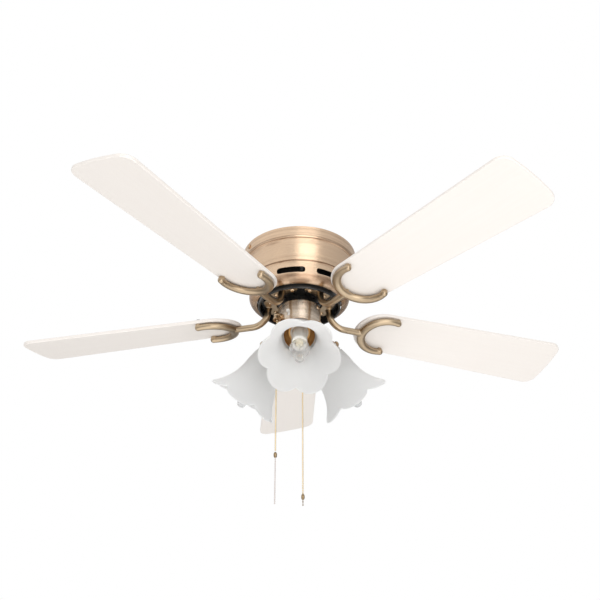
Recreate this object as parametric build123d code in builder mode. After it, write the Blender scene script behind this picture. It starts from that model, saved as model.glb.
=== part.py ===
from build123d import *

# A five-blade ceiling fan of the low kind that sits close to the ceiling, with a
# three-shade light kit. Millimetres, +Z up. The origin is the centre of the mounting
# plate's back, which lies on the ceiling, so the fan hangs down into -Z.

import os
from math import cos, radians, sin

os.makedirs("parts", exist_ok=True)

# ---------------------------------------------------------------- driving dimensions
SWEEP_D = 1067.0            # 42 inch sweep, tip to tip
BLADE_COUNT = 5
BLADE_FIRST_AZ = 21.3       # azimuth of blade 1, counter-clockwise from +X
BLADE_PITCH = 12.3          # the counter-clockwise edge is the low one
BLADE_Z = -131.0            # underside of the blades at the spin axis
BLADE_T = 6.0
BLADE_TIP_W = 124.8
BLADE_ROOT_R = 50.8         # radius of the half-round root end
BLADE_ROOT_C = 163.5        # distance of that half-round's centre from the axis
BLADE_TIP_BOW = 5.0
BLADE_TIP_FILLET = 22.0
BLADE_EDGE_FILLET = 1.6     # the foil is wrapped round a softened edge
BLADE_HOLE_R = 2.7

IRON_ROD_D = 12.0           # round rod of the blade irons
IRON_FOOT_Z = -98.5         # underside of the motor, where the irons bolt on
IRON_FOOT_T = 3.0
IRON_C_R = 43.5             # horseshoe under the blade, to the rod's centre
IRON_C_CENTRE = 169.5
IRON_C_OPEN = 76.0          # half the horseshoe's opening, degrees from the outward way
IRON_DROP = 6.4             # rod centre below the blade's underside
IRON_BENDS = [24.0, 30.0]   # radii of the arm's two bends
IRON_LUG_R = 5.8            # pads round the three blade screws

HOUSING_R = 106.0
HOUSING_RIM_R = 78.0        # open lower rim
HOUSING_RIM_Z = -104.0
HOUSING_T = 1.2
VENT_COUNT = 8
VENT_FIRST_AZ = 260.5
VENT_L = 51.0
VENT_H = 11.5
VENT_CORNER_R = 4.5
VENT_Z = -83.0

PLATE_R = 104.0             # pressed mounting plate
PLATE_T = 2.0
BOX_SLOT_SPACING = 88.9     # ceiling-box screws, 3.5 inch
BOX_SLOT_L = 14.0
BOX_SLOT_W = 5.2
JOIST_SPACING = 120.0
JOIST_HOLE_R = 2.75
SUPPLY_HOLE_R = 22.0        # the supply wires come through here
SKIRT_T = 1.6               # turned-down rim that the housing screws onto
SKIRT_H = 12.0
RIM_SCREW_AZ = (30, 210)    # thumb screws through the housing's rim
RIM_SCREW_Z = -9.0
RIM_SCREW_R = 1.9

HANGER_BOLTS = 4            # rubber-mounted
HANGER_BOLT_R = 68.0        # circle they stand on
HANGER_BOLT_AZ = 22.5
HANGER_BOLT_SHANK_R = 2.5
HANGER_FLANGE_Z = -8.0
HANGER_T = 2.0
HANGER_FLOOR_Z = -26.0

SHAFT_R = 7.5
SHAFT_BORE_R = 4.5
SHAFT_TOP_Z = -10.0
SHAFT_END_Z = -124.0
PIN_Z = -18.0
PIN_R = 2.0
PIN_L = 30.0
ROTOR_R = 80.0
ROTOR_WALL = 3.0
ROTOR_TOP_Z = -50.0
ROTOR_SPLIT_Z = -68.0
STACK_TOP_Z = -60.0
STACK_H = 16.0
STATOR_R = 60.0
POLES = 16
BEARING_R = 17.5
BEARING_H = 11.0
BEARING_TOPS = (-41.0, -84.0)
BEARING_INNER_R = 10.0      # outside of the inner ring
BEARING_OUTER_R = 15.0      # inside of the outer ring
BALLS = 8
BALL_R = 2.2
BALL_CIRCLE_R = 12.4
FIT = 0.05                  # gap between pressed or sliding faces

SWITCH_R = 38.8             # switch housing
SWITCH_TOP_Z = -114.0
SWITCH_BOTTOM_Z = -154.0
SWITCH_T = 1.0
SWITCH_SCREW_AZ = (90, 330)
SWITCH_SCREW_Z = -119.0
SWITCH_SCREW_R = 1.45
SPEED_AZ = 211.0            # side of the speed chain's outlet
SPEED_Z = -139.0
SPEED_STUB_R = 5.0
REVERSE_AZ = 240.0
REVERSE_Z = -137.0
REVERSE_TRAVEL = 6.0
REVERSE_SLOT_W = 6.0
REVERSE_SLOT_H = 12.0

LAMP_AZ = (270.0, 30.0, 150.0)
LAMP_TILT = 48.0            # shade axis below the horizontal
LAMP_NECK_R = 46.0          # where the glass neck starts on the shade's axis
LAMP_NECK_Z = -189.5
SHADE_L = 111.0
SHADE_MOUTH_R = 67.0
SCALLOPS = 6
SCALLOP_R = 9.0
SCREWS_PER_CUP = 3
CUP_SCREW_ALONG = 2.0       # place of the shade screws along the lamp's axis
CUP_SCREW_R = 1.85
CUP_SCREW_HEAD_FROM = 39.5
CUP_SCREW_FIRST = (60.0, 0.0, 0.0)  # turn of each cup's first screw from its top

CHAIN_D = 3.2
TAIL_D = 2.4
COUPLING_R = 2.9
COUPLING_H = 10.0
COUPLING_FILLET = 1.2
SPEED_CHAIN_XY = (-40.0, -24.0)
SPEED_CHAIN_TOP = -140.0
SPEED_COUPLING_Z = -403.0
SPEED_CHAIN_END = -488.0
LIGHT_CHAIN_XY = (5.5, 13.0)
LIGHT_CHAIN_TOP = -193.0
LIGHT_COUPLING_Z = -462.0
LIGHT_CHAIN_END = -477.0

BLADE_AZ = [BLADE_FIRST_AZ + 360 / BLADE_COUNT * i for i in range(BLADE_COUNT)]


def out_from_axis(azimuth, radius=0.0, z=0.0):
    """Plane with local X outward, local Y along +Z, at a radius on an azimuth."""
    a = radians(azimuth)
    return Plane(
        origin=(radius * cos(a), radius * sin(a), z),
        x_dir=(cos(a), sin(a), 0),
        z_dir=(sin(a), -cos(a), 0),
    )


def facing_out(azimuth, radius, z):
    """Plane on a wall: normal outward, local X level, local Y up."""
    a = radians(azimuth)
    return Plane(
        origin=(radius * cos(a), radius * sin(a), z),
        x_dir=(-sin(a), cos(a), 0),
        z_dir=(cos(a), sin(a), 0),
    )


def level(azimuth, z):
    """Horizontal plane with local X pointing outward on an azimuth."""
    a = radians(azimuth)
    return Plane(origin=(0, 0, z), x_dir=(cos(a), sin(a), 0), z_dir=(0, 0, 1))


def blade_plane(azimuth, drop=0.0):
    """Plane of a blade's underside, lowered by drop along its own normal."""
    a = radians(azimuth)
    p = radians(BLADE_PITCH)
    normal = Vector(-sin(a) * sin(p), cos(a) * sin(p), cos(p))
    origin = Vector(0, 0, BLADE_Z) - normal * drop
    return Plane(origin=origin, x_dir=(cos(a), sin(a), 0), z_dir=normal)


def lamp_plane(azimuth, along=0.0):
    """Plane across a lamp's axis: normal along the axis, local X towards its top."""
    a = radians(azimuth)
    t = radians(LAMP_TILT)
    axis = Vector(cos(a) * cos(t), sin(a) * cos(t), -sin(t))
    top = Vector(cos(a) * sin(t), sin(a) * sin(t), cos(t))
    neck = Vector(LAMP_NECK_R * cos(a), LAMP_NECK_R * sin(a), LAMP_NECK_Z)
    return Plane(origin=neck + axis * along, x_dir=top, z_dir=axis)


def cup_screw_plane(lamp, turn, radius):
    """Plane facing away from a lamp's axis, where one of its shade screws goes in."""
    angle = CUP_SCREW_FIRST[lamp] + 360 / SCREWS_PER_CUP * turn
    across = lamp_plane(LAMP_AZ[lamp], CUP_SCREW_ALONG).rotated((0, 0, angle))
    return Plane(origin=across.origin, x_dir=across.y_dir, z_dir=across.x_dir).offset(radius)


def lamp_section(azimuth):
    """Plane along a lamp's axis: local Y is the distance along it, local X across."""
    across = lamp_plane(azimuth)
    return Plane(origin=across.origin, x_dir=across.x_dir, z_dir=across.x_dir.cross(across.z_dir))


UPRIGHT = out_from_axis(0)
FROM_BELOW = (Align.CENTER, Align.CENTER, Align.MIN)
FROM_ABOVE = (Align.CENTER, Align.CENTER, Align.MAX)

# ------------------------------------------------------------------- mounting plate
with BuildPart() as ceiling_plate:
    with BuildSketch(Plane.XY.offset(-PLATE_T)):
        Circle(PLATE_R)
        Circle(SUPPLY_HOLE_R, mode=Mode.SUBTRACT)
        with GridLocations(BOX_SLOT_SPACING, 0, 2, 1):
            SlotOverall(BOX_SLOT_L, BOX_SLOT_W, mode=Mode.SUBTRACT)
        with GridLocations(JOIST_SPACING, JOIST_SPACING, 2, 2):
            Circle(JOIST_HOLE_R, mode=Mode.SUBTRACT)
        with PolarLocations(HANGER_BOLT_R, HANGER_BOLTS, start_angle=HANGER_BOLT_AZ):
            Circle(HANGER_BOLT_SHANK_R + 0.1, mode=Mode.SUBTRACT)
    extrude(amount=PLATE_T)
    with BuildSketch(Plane.XY.offset(-PLATE_T - SKIRT_H)):
        Circle(PLATE_R)
        Circle(PLATE_R - SKIRT_T, mode=Mode.SUBTRACT)
    extrude(amount=SKIRT_H)
    for azimuth in RIM_SCREW_AZ:
        with BuildSketch(facing_out(azimuth, PLATE_R - 4, RIM_SCREW_Z)):
            Circle(RIM_SCREW_R + FIT)
        extrude(amount=8, mode=Mode.SUBTRACT)
ceiling_plate.part.label = "ceiling_plate"
export_step(ceiling_plate.part, "parts/ceiling_plate.step")

# ----------------------------------------------------------------- spun brass housing
with BuildPart() as housing:
    with BuildSketch(UPRIGHT):
        with BuildLine():
            rim = Line((HOUSING_R, 0), (HOUSING_R, -19.5))
            bead = Polyline(rim @ 1, (104.6, -21.5), (104.6, -22.8), (102.6, -23.6), (101.6, -34))
            slope = Line(bead @ 1, (95.6, -63.6))
            step = Polyline(slope @ 1, (94.6, -65.4), (93.2, -66.4), (92.8, -69), (92.4, -90))
            bowl = ThreePointArc(step @ 1, (88.2, -99.2), (HOUSING_RIM_R, HOUSING_RIM_Z))
            foot = Line(bowl @ 1, (HOUSING_RIM_R - 0.6, HOUSING_RIM_Z + HOUSING_T))
            inside = ThreePointArc(foot @ 1, (87.3, -98.3), (92.4 - HOUSING_T, -90))
            Polyline(
                inside @ 1,
                (92.8 - HOUSING_T, -69),
                (93.2 - HOUSING_T, -65.6),
                (95.6 - HOUSING_T, -63.0),
                (101.6 - HOUSING_T, -33.4),
                (102.6 - HOUSING_T, -22.6),
                (HOUSING_R - HOUSING_T, -19.5),
                (HOUSING_R - HOUSING_T, 0),
                rim @ 0,
            )
        make_face()
    revolve(axis=Axis.Z)
    for index in range(VENT_COUNT):
        with BuildSketch(facing_out(VENT_FIRST_AZ + 360 / VENT_COUNT * index, 80, VENT_Z)):
            RectangleRounded(VENT_L, VENT_H, VENT_CORNER_R)
        extrude(amount=20, mode=Mode.SUBTRACT)
    for azimuth in RIM_SCREW_AZ:
        with BuildSketch(facing_out(azimuth, HOUSING_R - 6, RIM_SCREW_Z)):
            Circle(RIM_SCREW_R + 0.3)
        extrude(amount=10, mode=Mode.SUBTRACT)
housing.part.label = "housing"
export_step(housing.part, "parts/housing.step")

with BuildPart() as housing_screws:
    for azimuth in RIM_SCREW_AZ:
        with BuildSketch(facing_out(azimuth, HOUSING_R - 5, RIM_SCREW_Z)):
            Circle(RIM_SCREW_R)
        extrude(amount=5.5)
        with BuildSketch(facing_out(azimuth, HOUSING_R + 0.1, RIM_SCREW_Z)):
            Circle(4.2)
        extrude(amount=2.2)
housing_screws.part.label = "housing_screws"
export_step(housing_screws.part, "parts/housing_screws.step")

# ------------------------------------------------- motor hanger and its rubber mounts
HANGER_BOSS_R = 12.0
with BuildPart() as motor_hanger:
    flange_top_z = HANGER_FLANGE_Z + HANGER_T
    pan_z = HANGER_FLOOR_Z + HANGER_T
    with BuildSketch(UPRIGHT):
        with BuildLine():
            Polyline(
                (60, HANGER_FLANGE_Z), (78, HANGER_FLANGE_Z), (78, flange_top_z),
                (59, flange_top_z), (49, pan_z), (HANGER_BOSS_R, pan_z), (HANGER_BOSS_R, -14),
                (SHAFT_R + FIT, -14), (SHAFT_R + FIT, -34), (HANGER_BOSS_R, -34),
                (HANGER_BOSS_R, HANGER_FLOOR_Z), (50, HANGER_FLOOR_Z),
                close=True,
            )
        make_face()
    revolve(axis=Axis.Z)
    with BuildSketch(Plane.XY.offset(HANGER_FLANGE_Z)):
        with PolarLocations(HANGER_BOLT_R, HANGER_BOLTS, start_angle=HANGER_BOLT_AZ):
            Circle(HANGER_BOLT_SHANK_R + 0.1)
    extrude(amount=HANGER_T, mode=Mode.SUBTRACT)
    with BuildSketch(Plane.XY.offset(HANGER_FLOOR_Z)):
        with PolarLocations(33, 3):
            SlotOverall(24, 12, rotation=90)
    extrude(amount=HANGER_T, mode=Mode.SUBTRACT)
    with BuildSketch(facing_out(0, -20, PIN_Z)):
        Circle(PIN_R + FIT)
    extrude(amount=40, mode=Mode.SUBTRACT)
motor_hanger.part.label = "motor_hanger"
export_step(motor_hanger.part, "parts/motor_hanger.step")

with BuildPart() as rubber_mounts:
    with BuildSketch(Plane.XY.offset(HANGER_FLANGE_Z + HANGER_T)):
        with PolarLocations(HANGER_BOLT_R, HANGER_BOLTS, start_angle=HANGER_BOLT_AZ):
            Circle(7)
            Circle(HANGER_BOLT_SHANK_R + 0.1, mode=Mode.SUBTRACT)
    extrude(amount=-PLATE_T - HANGER_FLANGE_Z - HANGER_T)
rubber_mounts.part.label = "rubber_mounts"
export_step(rubber_mounts.part, "parts/rubber_mounts.step")

with BuildPart() as hanger_bolts:
    head_h = 4
    with BuildSketch(Plane.XY.offset(HANGER_FLANGE_Z - head_h)):
        with PolarLocations(HANGER_BOLT_R, HANGER_BOLTS, start_angle=HANGER_BOLT_AZ):
            RegularPolygon(5, 6)
    extrude(amount=head_h)
    with BuildSketch(Plane.XY.offset(HANGER_FLANGE_Z)):
        with PolarLocations(HANGER_BOLT_R, HANGER_BOLTS, start_angle=HANGER_BOLT_AZ):
            Circle(HANGER_BOLT_SHANK_R)
    extrude(amount=-HANGER_FLANGE_Z - 0.4)
hanger_bolts.part.label = "hanger_bolts"
export_step(hanger_bolts.part, "parts/hanger_bolts.step")

# ----------------------------------------------------------------- shaft and its pins
with BuildPart() as motor_shaft:
    with BuildSketch(Plane.XY.offset(SHAFT_END_Z)):
        Circle(SHAFT_R)
        Circle(SHAFT_BORE_R, mode=Mode.SUBTRACT)
    extrude(amount=SHAFT_TOP_Z - SHAFT_END_Z)
    with BuildSketch(facing_out(0, -20, PIN_Z)):
        Circle(PIN_R + FIT)
    extrude(amount=40, mode=Mode.SUBTRACT)
motor_shaft.part.label = "motor_shaft"
export_step(motor_shaft.part, "parts/motor_shaft.step")

with BuildPart() as shaft_pin:
    with BuildSketch(facing_out(0, -PIN_L / 2, PIN_Z)):
        Circle(PIN_R)
    extrude(amount=PIN_L)
shaft_pin.part.label = "shaft_pin"
export_step(shaft_pin.part, "parts/shaft_pin.step")

with BuildPart() as shaft_nut:
    with BuildSketch(Plane.XY.offset(SHAFT_END_Z + 2)):
        RegularPolygon(13, 6)
        Circle(SHAFT_R + FIT, mode=Mode.SUBTRACT)
    extrude(amount=6)
shaft_nut.part.label = "shaft_nut"
export_step(shaft_nut.part, "parts/shaft_nut.step")

# ---------------------------------------------------------------------------- stator
TOOTH_W = 7.0
with BuildPart() as stator_core:
    with BuildSketch(Plane.XY.offset(STACK_TOP_Z - STACK_H)):
        Circle(40)
        with PolarLocations(48.5, POLES):
            Rectangle(19, TOOTH_W)
        with BuildSketch(mode=Mode.PRIVATE) as shoes:
            with PolarLocations(58.5, POLES):
                Rectangle(5, 15)
            Circle(STATOR_R, mode=Mode.INTERSECT)
        add(shoes.sketch)
        Circle(SHAFT_R + FIT, mode=Mode.SUBTRACT)
        with PolarLocations(24, 4):
            Circle(5, mode=Mode.SUBTRACT)
    extrude(amount=STACK_H)
stator_core.part.label = "stator_core"
export_step(stator_core.part, "parts/stator_core.step")

COIL_SIDE = 3.0
COIL_OVERHANG = 5.0
with BuildPart() as stator_windings:
    for index in range(POLES):
        coil = facing_out(360 / POLES * index, 43, STACK_TOP_Z - STACK_H / 2)
        with BuildSketch(coil):
            outer_w = TOOTH_W + 2 * COIL_SIDE
            RectangleRounded(outer_w, STACK_H + 2 * COIL_OVERHANG, 3)
            Rectangle(TOOTH_W + 0.4, STACK_H + 0.4, mode=Mode.SUBTRACT)
        extrude(amount=12)
stator_windings.part.label = "stator_windings"
export_step(stator_windings.part, "parts/stator_windings.step")

# -------------------------------------------------------------------------- bearings
with BuildPart() as bearing_inner_rings:
    for top in BEARING_TOPS:
        with BuildSketch(Plane.XY.offset(top - BEARING_H)):
            Circle(BEARING_INNER_R)
            Circle(SHAFT_R + FIT, mode=Mode.SUBTRACT)
        extrude(amount=BEARING_H)
bearing_inner_rings.part.label = "bearing_inner_rings"
export_step(bearing_inner_rings.part, "parts/bearing_inner_rings.step")

with BuildPart() as bearing_outer_rings:
    for top in BEARING_TOPS:
        with BuildSketch(Plane.XY.offset(top - BEARING_H)):
            Circle(BEARING_R)
            Circle(BEARING_OUTER_R, mode=Mode.SUBTRACT)
        extrude(amount=BEARING_H)
bearing_outer_rings.part.label = "bearing_outer_rings"
export_step(bearing_outer_rings.part, "parts/bearing_outer_rings.step")

with BuildPart() as bearing_balls:
    for top in BEARING_TOPS:
        for index in range(BALLS):
            angle = radians(360 / BALLS * index)
            ball_x = BALL_CIRCLE_R * cos(angle)
            ball_y = BALL_CIRCLE_R * sin(angle)
            with Locations((ball_x, ball_y, top - BEARING_H / 2)):
                Sphere(BALL_R)
bearing_balls.part.label = "bearing_balls"
export_step(bearing_balls.part, "parts/bearing_balls.step")

# ---------------------------------------------------------------------- rotor covers
FOOT_SCREW_R = 50.0         # the two screws of an iron's foot, outward
FOOT_SCREW_SIDE = 17.0      # and to each side
FOOT_SCREW_SHANK_R = 2.05
FOOT_SCREWS = [(FOOT_SCREW_R, FOOT_SCREW_SIDE), (FOOT_SCREW_R, -FOOT_SCREW_SIDE)]
EAR_R = 83.0                # ears where the two covers are screwed together
EAR_AZ = [azimuth + 180 / BLADE_COUNT for azimuth in BLADE_AZ]
EAR_PAD_R = 5.2
EAR_T = 4.0
EAR_SCREW_OUT = EAR_R + 0.4
EAR_SCREW_R = 1.65
HUB_BORE_R = 11.0
POCKET_R = BEARING_R + FIT
HUB_R = 21.0
LIP_R = 73.4                # rolled lip that closes the housing's mouth
LIP_TOP_Z = -94.6
LIP_Z = -109.4
LIP_WALL = 1.6
LIP_ROLL_R = 2.0
with BuildPart() as rotor_upper_cover:
    upper_hub_top = BEARING_TOPS[0] + 3
    with BuildSketch(UPRIGHT):
        with BuildLine():
            Polyline(
                (ROTOR_R, ROTOR_SPLIT_Z), (ROTOR_R, ROTOR_TOP_Z - 6), (ROTOR_R - 6, ROTOR_TOP_Z),
                (HUB_R, ROTOR_TOP_Z + 2), (HUB_R, upper_hub_top), (HUB_BORE_R, upper_hub_top),
                (HUB_BORE_R, BEARING_TOPS[0] + FIT), (POCKET_R, BEARING_TOPS[0] + FIT),
                (POCKET_R, BEARING_TOPS[0] - BEARING_H), (ROTOR_R - 8, ROTOR_TOP_Z - ROTOR_WALL),
                (ROTOR_R - ROTOR_WALL, ROTOR_TOP_Z - 8), (ROTOR_R - ROTOR_WALL, ROTOR_SPLIT_Z),
                close=True,
            )
        make_face()
    revolve(axis=Axis.Z)
    for azimuth in EAR_AZ:
        with BuildSketch(level(azimuth, ROTOR_SPLIT_Z)):
            with Locations((EAR_R, 0)):
                Circle(EAR_PAD_R)
            with Locations((EAR_R - 3.4, 0)):
                Rectangle(4.6, 2 * EAR_PAD_R)
        extrude(amount=EAR_T)
    for azimuth in EAR_AZ:
        with BuildSketch(level(azimuth, ROTOR_SPLIT_Z)):
            with Locations((EAR_SCREW_OUT, 0)):
                Circle(EAR_SCREW_R + FIT)
        extrude(amount=EAR_T, mode=Mode.SUBTRACT)
rotor_upper_cover.part.label = "rotor_upper_cover"
export_step(rotor_upper_cover.part, "parts/rotor_upper_cover.step")

with BuildPart() as rotor_lower_cover:
    floor_z = IRON_FOOT_Z + ROTOR_WALL
    hub_end_z = IRON_FOOT_Z - 9
    pocket_floor_z = BEARING_TOPS[1] - BEARING_H - FIT
    with BuildSketch(UPRIGHT):
        with BuildLine():
            Polyline(
                (ROTOR_R, ROTOR_SPLIT_Z), (ROTOR_R, -88), (ROTOR_R - 4, -94.5),
                (ROTOR_R - 11, IRON_FOOT_Z),
                (26, IRON_FOOT_Z), (24, hub_end_z), (HUB_BORE_R, hub_end_z),
                (HUB_BORE_R, pocket_floor_z), (POCKET_R, pocket_floor_z),
                (POCKET_R, BEARING_TOPS[1]), (HUB_R, BEARING_TOPS[1]), (HUB_R + 1, floor_z),
                (ROTOR_R - 12, floor_z), (ROTOR_R - 6.6, -92.6), (ROTOR_R - ROTOR_WALL, -87),
                (ROTOR_R - ROTOR_WALL, ROTOR_SPLIT_Z),
                close=True,
            )
        make_face()
        with Locations((LIP_R, (LIP_TOP_Z + LIP_Z) / 2)):
            Rectangle(LIP_WALL, LIP_TOP_Z - LIP_Z)
        with Locations((LIP_R, LIP_Z)):
            Circle(LIP_ROLL_R)
    revolve(axis=Axis.Z)
    for azimuth in BLADE_AZ:
        with BuildSketch(level(azimuth, IRON_FOOT_Z)):
            with Locations(*FOOT_SCREWS):
                Circle(5)
        extrude(amount=9)
    for azimuth in EAR_AZ:
        with BuildSketch(level(azimuth, ROTOR_SPLIT_Z)):
            with Locations((EAR_R, 0)):
                Circle(EAR_PAD_R)
            with Locations((EAR_R - 3.4, 0)):
                Rectangle(4.6, 2 * EAR_PAD_R)
        extrude(amount=-EAR_T)
    for azimuth in EAR_AZ:
        with BuildSketch(level(azimuth, ROTOR_SPLIT_Z)):
            with Locations((EAR_SCREW_OUT, 0)):
                Circle(EAR_SCREW_R + 3 * FIT)
        extrude(amount=-EAR_T, mode=Mode.SUBTRACT)
    for azimuth in BLADE_AZ:
        with BuildSketch(level(azimuth, IRON_FOOT_Z)):
            with Locations(*FOOT_SCREWS):
                Circle(FOOT_SCREW_SHANK_R + FIT)
        extrude(amount=7.5, mode=Mode.SUBTRACT)
    with BuildSketch(Plane.XY.offset(IRON_FOOT_Z)):
        with PolarLocations(33, 2 * BLADE_COUNT, start_angle=BLADE_FIRST_AZ + 18):
            SlotOverall(9, 4)
    extrude(amount=ROTOR_WALL, mode=Mode.SUBTRACT)
rotor_lower_cover.part.label = "rotor_lower_cover"
export_step(rotor_lower_cover.part, "parts/rotor_lower_cover.step")

with BuildPart() as rotor_ring:
    with BuildSketch(Plane.XY.offset(STACK_TOP_Z - STACK_H)):
        Circle(ROTOR_R - ROTOR_WALL - FIT)
        Circle(STATOR_R + 0.5, mode=Mode.SUBTRACT)
    extrude(amount=STACK_H)
rotor_ring.part.label = "rotor_ring"
export_step(rotor_ring.part, "parts/rotor_ring.step")

with BuildPart() as rotor_screws:
    for azimuth in EAR_AZ:
        with BuildSketch(level(azimuth, ROTOR_SPLIT_Z - EAR_T - 2)):
            with Locations((EAR_SCREW_OUT, 0)):
                Circle(3.1)
        extrude(amount=2)
        with BuildSketch(level(azimuth, ROTOR_SPLIT_Z - EAR_T)):
            with Locations((EAR_SCREW_OUT, 0)):
                Circle(EAR_SCREW_R)
        extrude(amount=2 * EAR_T)
rotor_screws.part.label = "rotor_screws"
export_step(rotor_screws.part, "parts/rotor_screws.step")

# --------------------------------------------- blades, irons and the screws that join
LUG_AZ = 77.0               # of the two outer blade screws, round the horseshoe
lug_x = IRON_C_CENTRE + IRON_C_R * cos(radians(LUG_AZ))
lug_y = IRON_C_R * sin(radians(LUG_AZ))
SCREW_SPOTS = [(IRON_C_CENTRE - IRON_C_R, 0), (lug_x, lug_y), (lug_x, -lug_y)]
BLADE_SCREW_R = 2.25
WASHER_T = 1.0
FOOT_SCREW_HEAD_H = 2.6
rod_r = IRON_ROD_D / 2
half_tip = BLADE_TIP_W / 2
tip_r = SWEEP_D / 2

# One blade and one iron are drawn along +X, then set round the axis.
with BuildPart() as blade_form:
    with BuildSketch(blade_plane(0)) as outline:
        with BuildLine():
            root = ThreePointArc(
                (BLADE_ROOT_C, -BLADE_ROOT_R),
                (BLADE_ROOT_C - BLADE_ROOT_R, 0),
                (BLADE_ROOT_C, BLADE_ROOT_R),
            )
            side = Line(root @ 1, (tip_r - BLADE_TIP_BOW, half_tip))
            tip = ThreePointArc(side @ 1, (tip_r, 0), (tip_r - BLADE_TIP_BOW, -half_tip))
            Line(tip @ 1, root @ 0)
        make_face()
        fillet(outline.vertices().group_by(Axis.X)[-1], BLADE_TIP_FILLET)
    extrude(amount=BLADE_T)
    broad_faces = blade_form.faces().sort_by(SortBy.AREA)[-2:]
    fillet(broad_faces.edges(), BLADE_EDGE_FILLET)
    with BuildSketch(blade_plane(0)):
        with Locations(*SCREW_SPOTS):
            Circle(BLADE_HOLE_R)
    extrude(amount=BLADE_T, mode=Mode.SUBTRACT)

with BuildPart() as iron_form:
    with BuildLine(out_from_axis(0)) as arm_path:
        arm = FilletPolyline(
            (58.5, IRON_FOOT_Z - 1.5), (61.2, -121), (77, BLADE_Z - IRON_DROP + 0.2),
            (IRON_C_CENTRE - IRON_C_R, BLADE_Z - IRON_DROP),
            radius=IRON_BENDS,
        )
    with BuildSketch(Plane(origin=arm @ 0, z_dir=arm % 0)):
        Circle(rod_r)
    sweep(path=arm_path.line)
    with BuildLine(blade_plane(0, IRON_DROP)) as horseshoe_path:
        horseshoe = CenterArc((IRON_C_CENTRE, 0), IRON_C_R, IRON_C_OPEN, 360 - 2 * IRON_C_OPEN)
    with BuildSketch(Plane(origin=horseshoe @ 0, z_dir=horseshoe % 0)):
        Circle(rod_r)
    sweep(path=horseshoe_path.line)
    with Locations(horseshoe @ 0, horseshoe @ 1):
        Sphere(rod_r + 0.2)
    with BuildSketch(blade_plane(0, IRON_DROP)):
        with Locations(*SCREW_SPOTS):
            Circle(IRON_LUG_R)
    extrude(amount=IRON_DROP)
    with BuildSketch(level(0, IRON_FOOT_Z - IRON_FOOT_T)):
        with Locations((52.5, 0)):
            RectangleRounded(21, 2 * FOOT_SCREW_SIDE + 18, 7)
    extrude(amount=IRON_FOOT_T)
    with BuildSketch(level(0, IRON_FOOT_Z - IRON_FOOT_T)):
        with Locations(*FOOT_SCREWS):
            Circle(FOOT_SCREW_SHANK_R + 0.35)
    extrude(amount=IRON_FOOT_T, mode=Mode.SUBTRACT)
    with BuildSketch(blade_plane(0, IRON_DROP)):
        with Locations(*SCREW_SPOTS):
            Circle(BLADE_SCREW_R + FIT)
    extrude(amount=IRON_DROP, mode=Mode.SUBTRACT)

for index, azimuth in enumerate(BLADE_AZ, start=1):
    with BuildPart() as blade:
        add(blade_form.part.rotate(Axis.Z, azimuth))
    blade.part.label = f"blade_{index}"
    export_step(blade.part, f"parts/blade_{index}.step")

    with BuildPart() as iron:
        add(iron_form.part.rotate(Axis.Z, azimuth))
    iron.part.label = f"blade_iron_{index}"
    export_step(iron.part, f"parts/blade_iron_{index}.step")

with BuildPart() as iron_screws:
    for azimuth in BLADE_AZ:
        with BuildSketch(level(azimuth, IRON_FOOT_Z - IRON_FOOT_T - FOOT_SCREW_HEAD_H)):
            with Locations(*FOOT_SCREWS):
                Circle(4.4)
        extrude(amount=FOOT_SCREW_HEAD_H)
        with BuildSketch(level(azimuth, IRON_FOOT_Z - IRON_FOOT_T)):
            with Locations(*FOOT_SCREWS):
                Circle(FOOT_SCREW_SHANK_R)
        extrude(amount=IRON_FOOT_T + 7)
iron_screws.part.label = "iron_screws"
export_step(iron_screws.part, "parts/iron_screws.step")

with BuildPart() as blade_screws:
    for azimuth in BLADE_AZ:
        with BuildSketch(blade_plane(azimuth, -BLADE_T)):
            with Locations(*SCREW_SPOTS):
                Circle(7)
        extrude(amount=WASHER_T)
        with BuildSketch(blade_plane(azimuth, -BLADE_T - WASHER_T)):
            with Locations(*SCREW_SPOTS):
                Circle(4.6)
        extrude(amount=2.4)
        with BuildSketch(blade_plane(azimuth, IRON_DROP - 0.4)):
            with Locations(*SCREW_SPOTS):
                Circle(BLADE_SCREW_R)
        extrude(amount=IRON_DROP - 0.4 + BLADE_T)
blade_screws.part.label = "blade_screws"
export_step(blade_screws.part, "parts/blade_screws.step")

# -------------------------------------------------------------------- switch housing
with BuildPart() as switch_plate:
    with BuildSketch(UPRIGHT):
        with BuildLine():
            Polyline(
                (SHAFT_R + FIT, -116), (SHAFT_R + FIT, -112.5), (12, -112.5), (14, SWITCH_TOP_Z),
                (37.6, SWITCH_TOP_Z), (37.6, -124), (36.2, -124), (36.2, -115.6), (13, -115.6),
                (13, -116),
                close=True,
            )
        make_face()
    revolve(axis=Axis.Z)
    for azimuth in SWITCH_SCREW_AZ:
        with BuildSketch(facing_out(azimuth, 34, SWITCH_SCREW_Z)):
            Circle(SWITCH_SCREW_R + FIT)
        extrude(amount=6, mode=Mode.SUBTRACT)
switch_plate.part.label = "switch_plate"
export_step(switch_plate.part, "parts/switch_plate.step")

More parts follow.
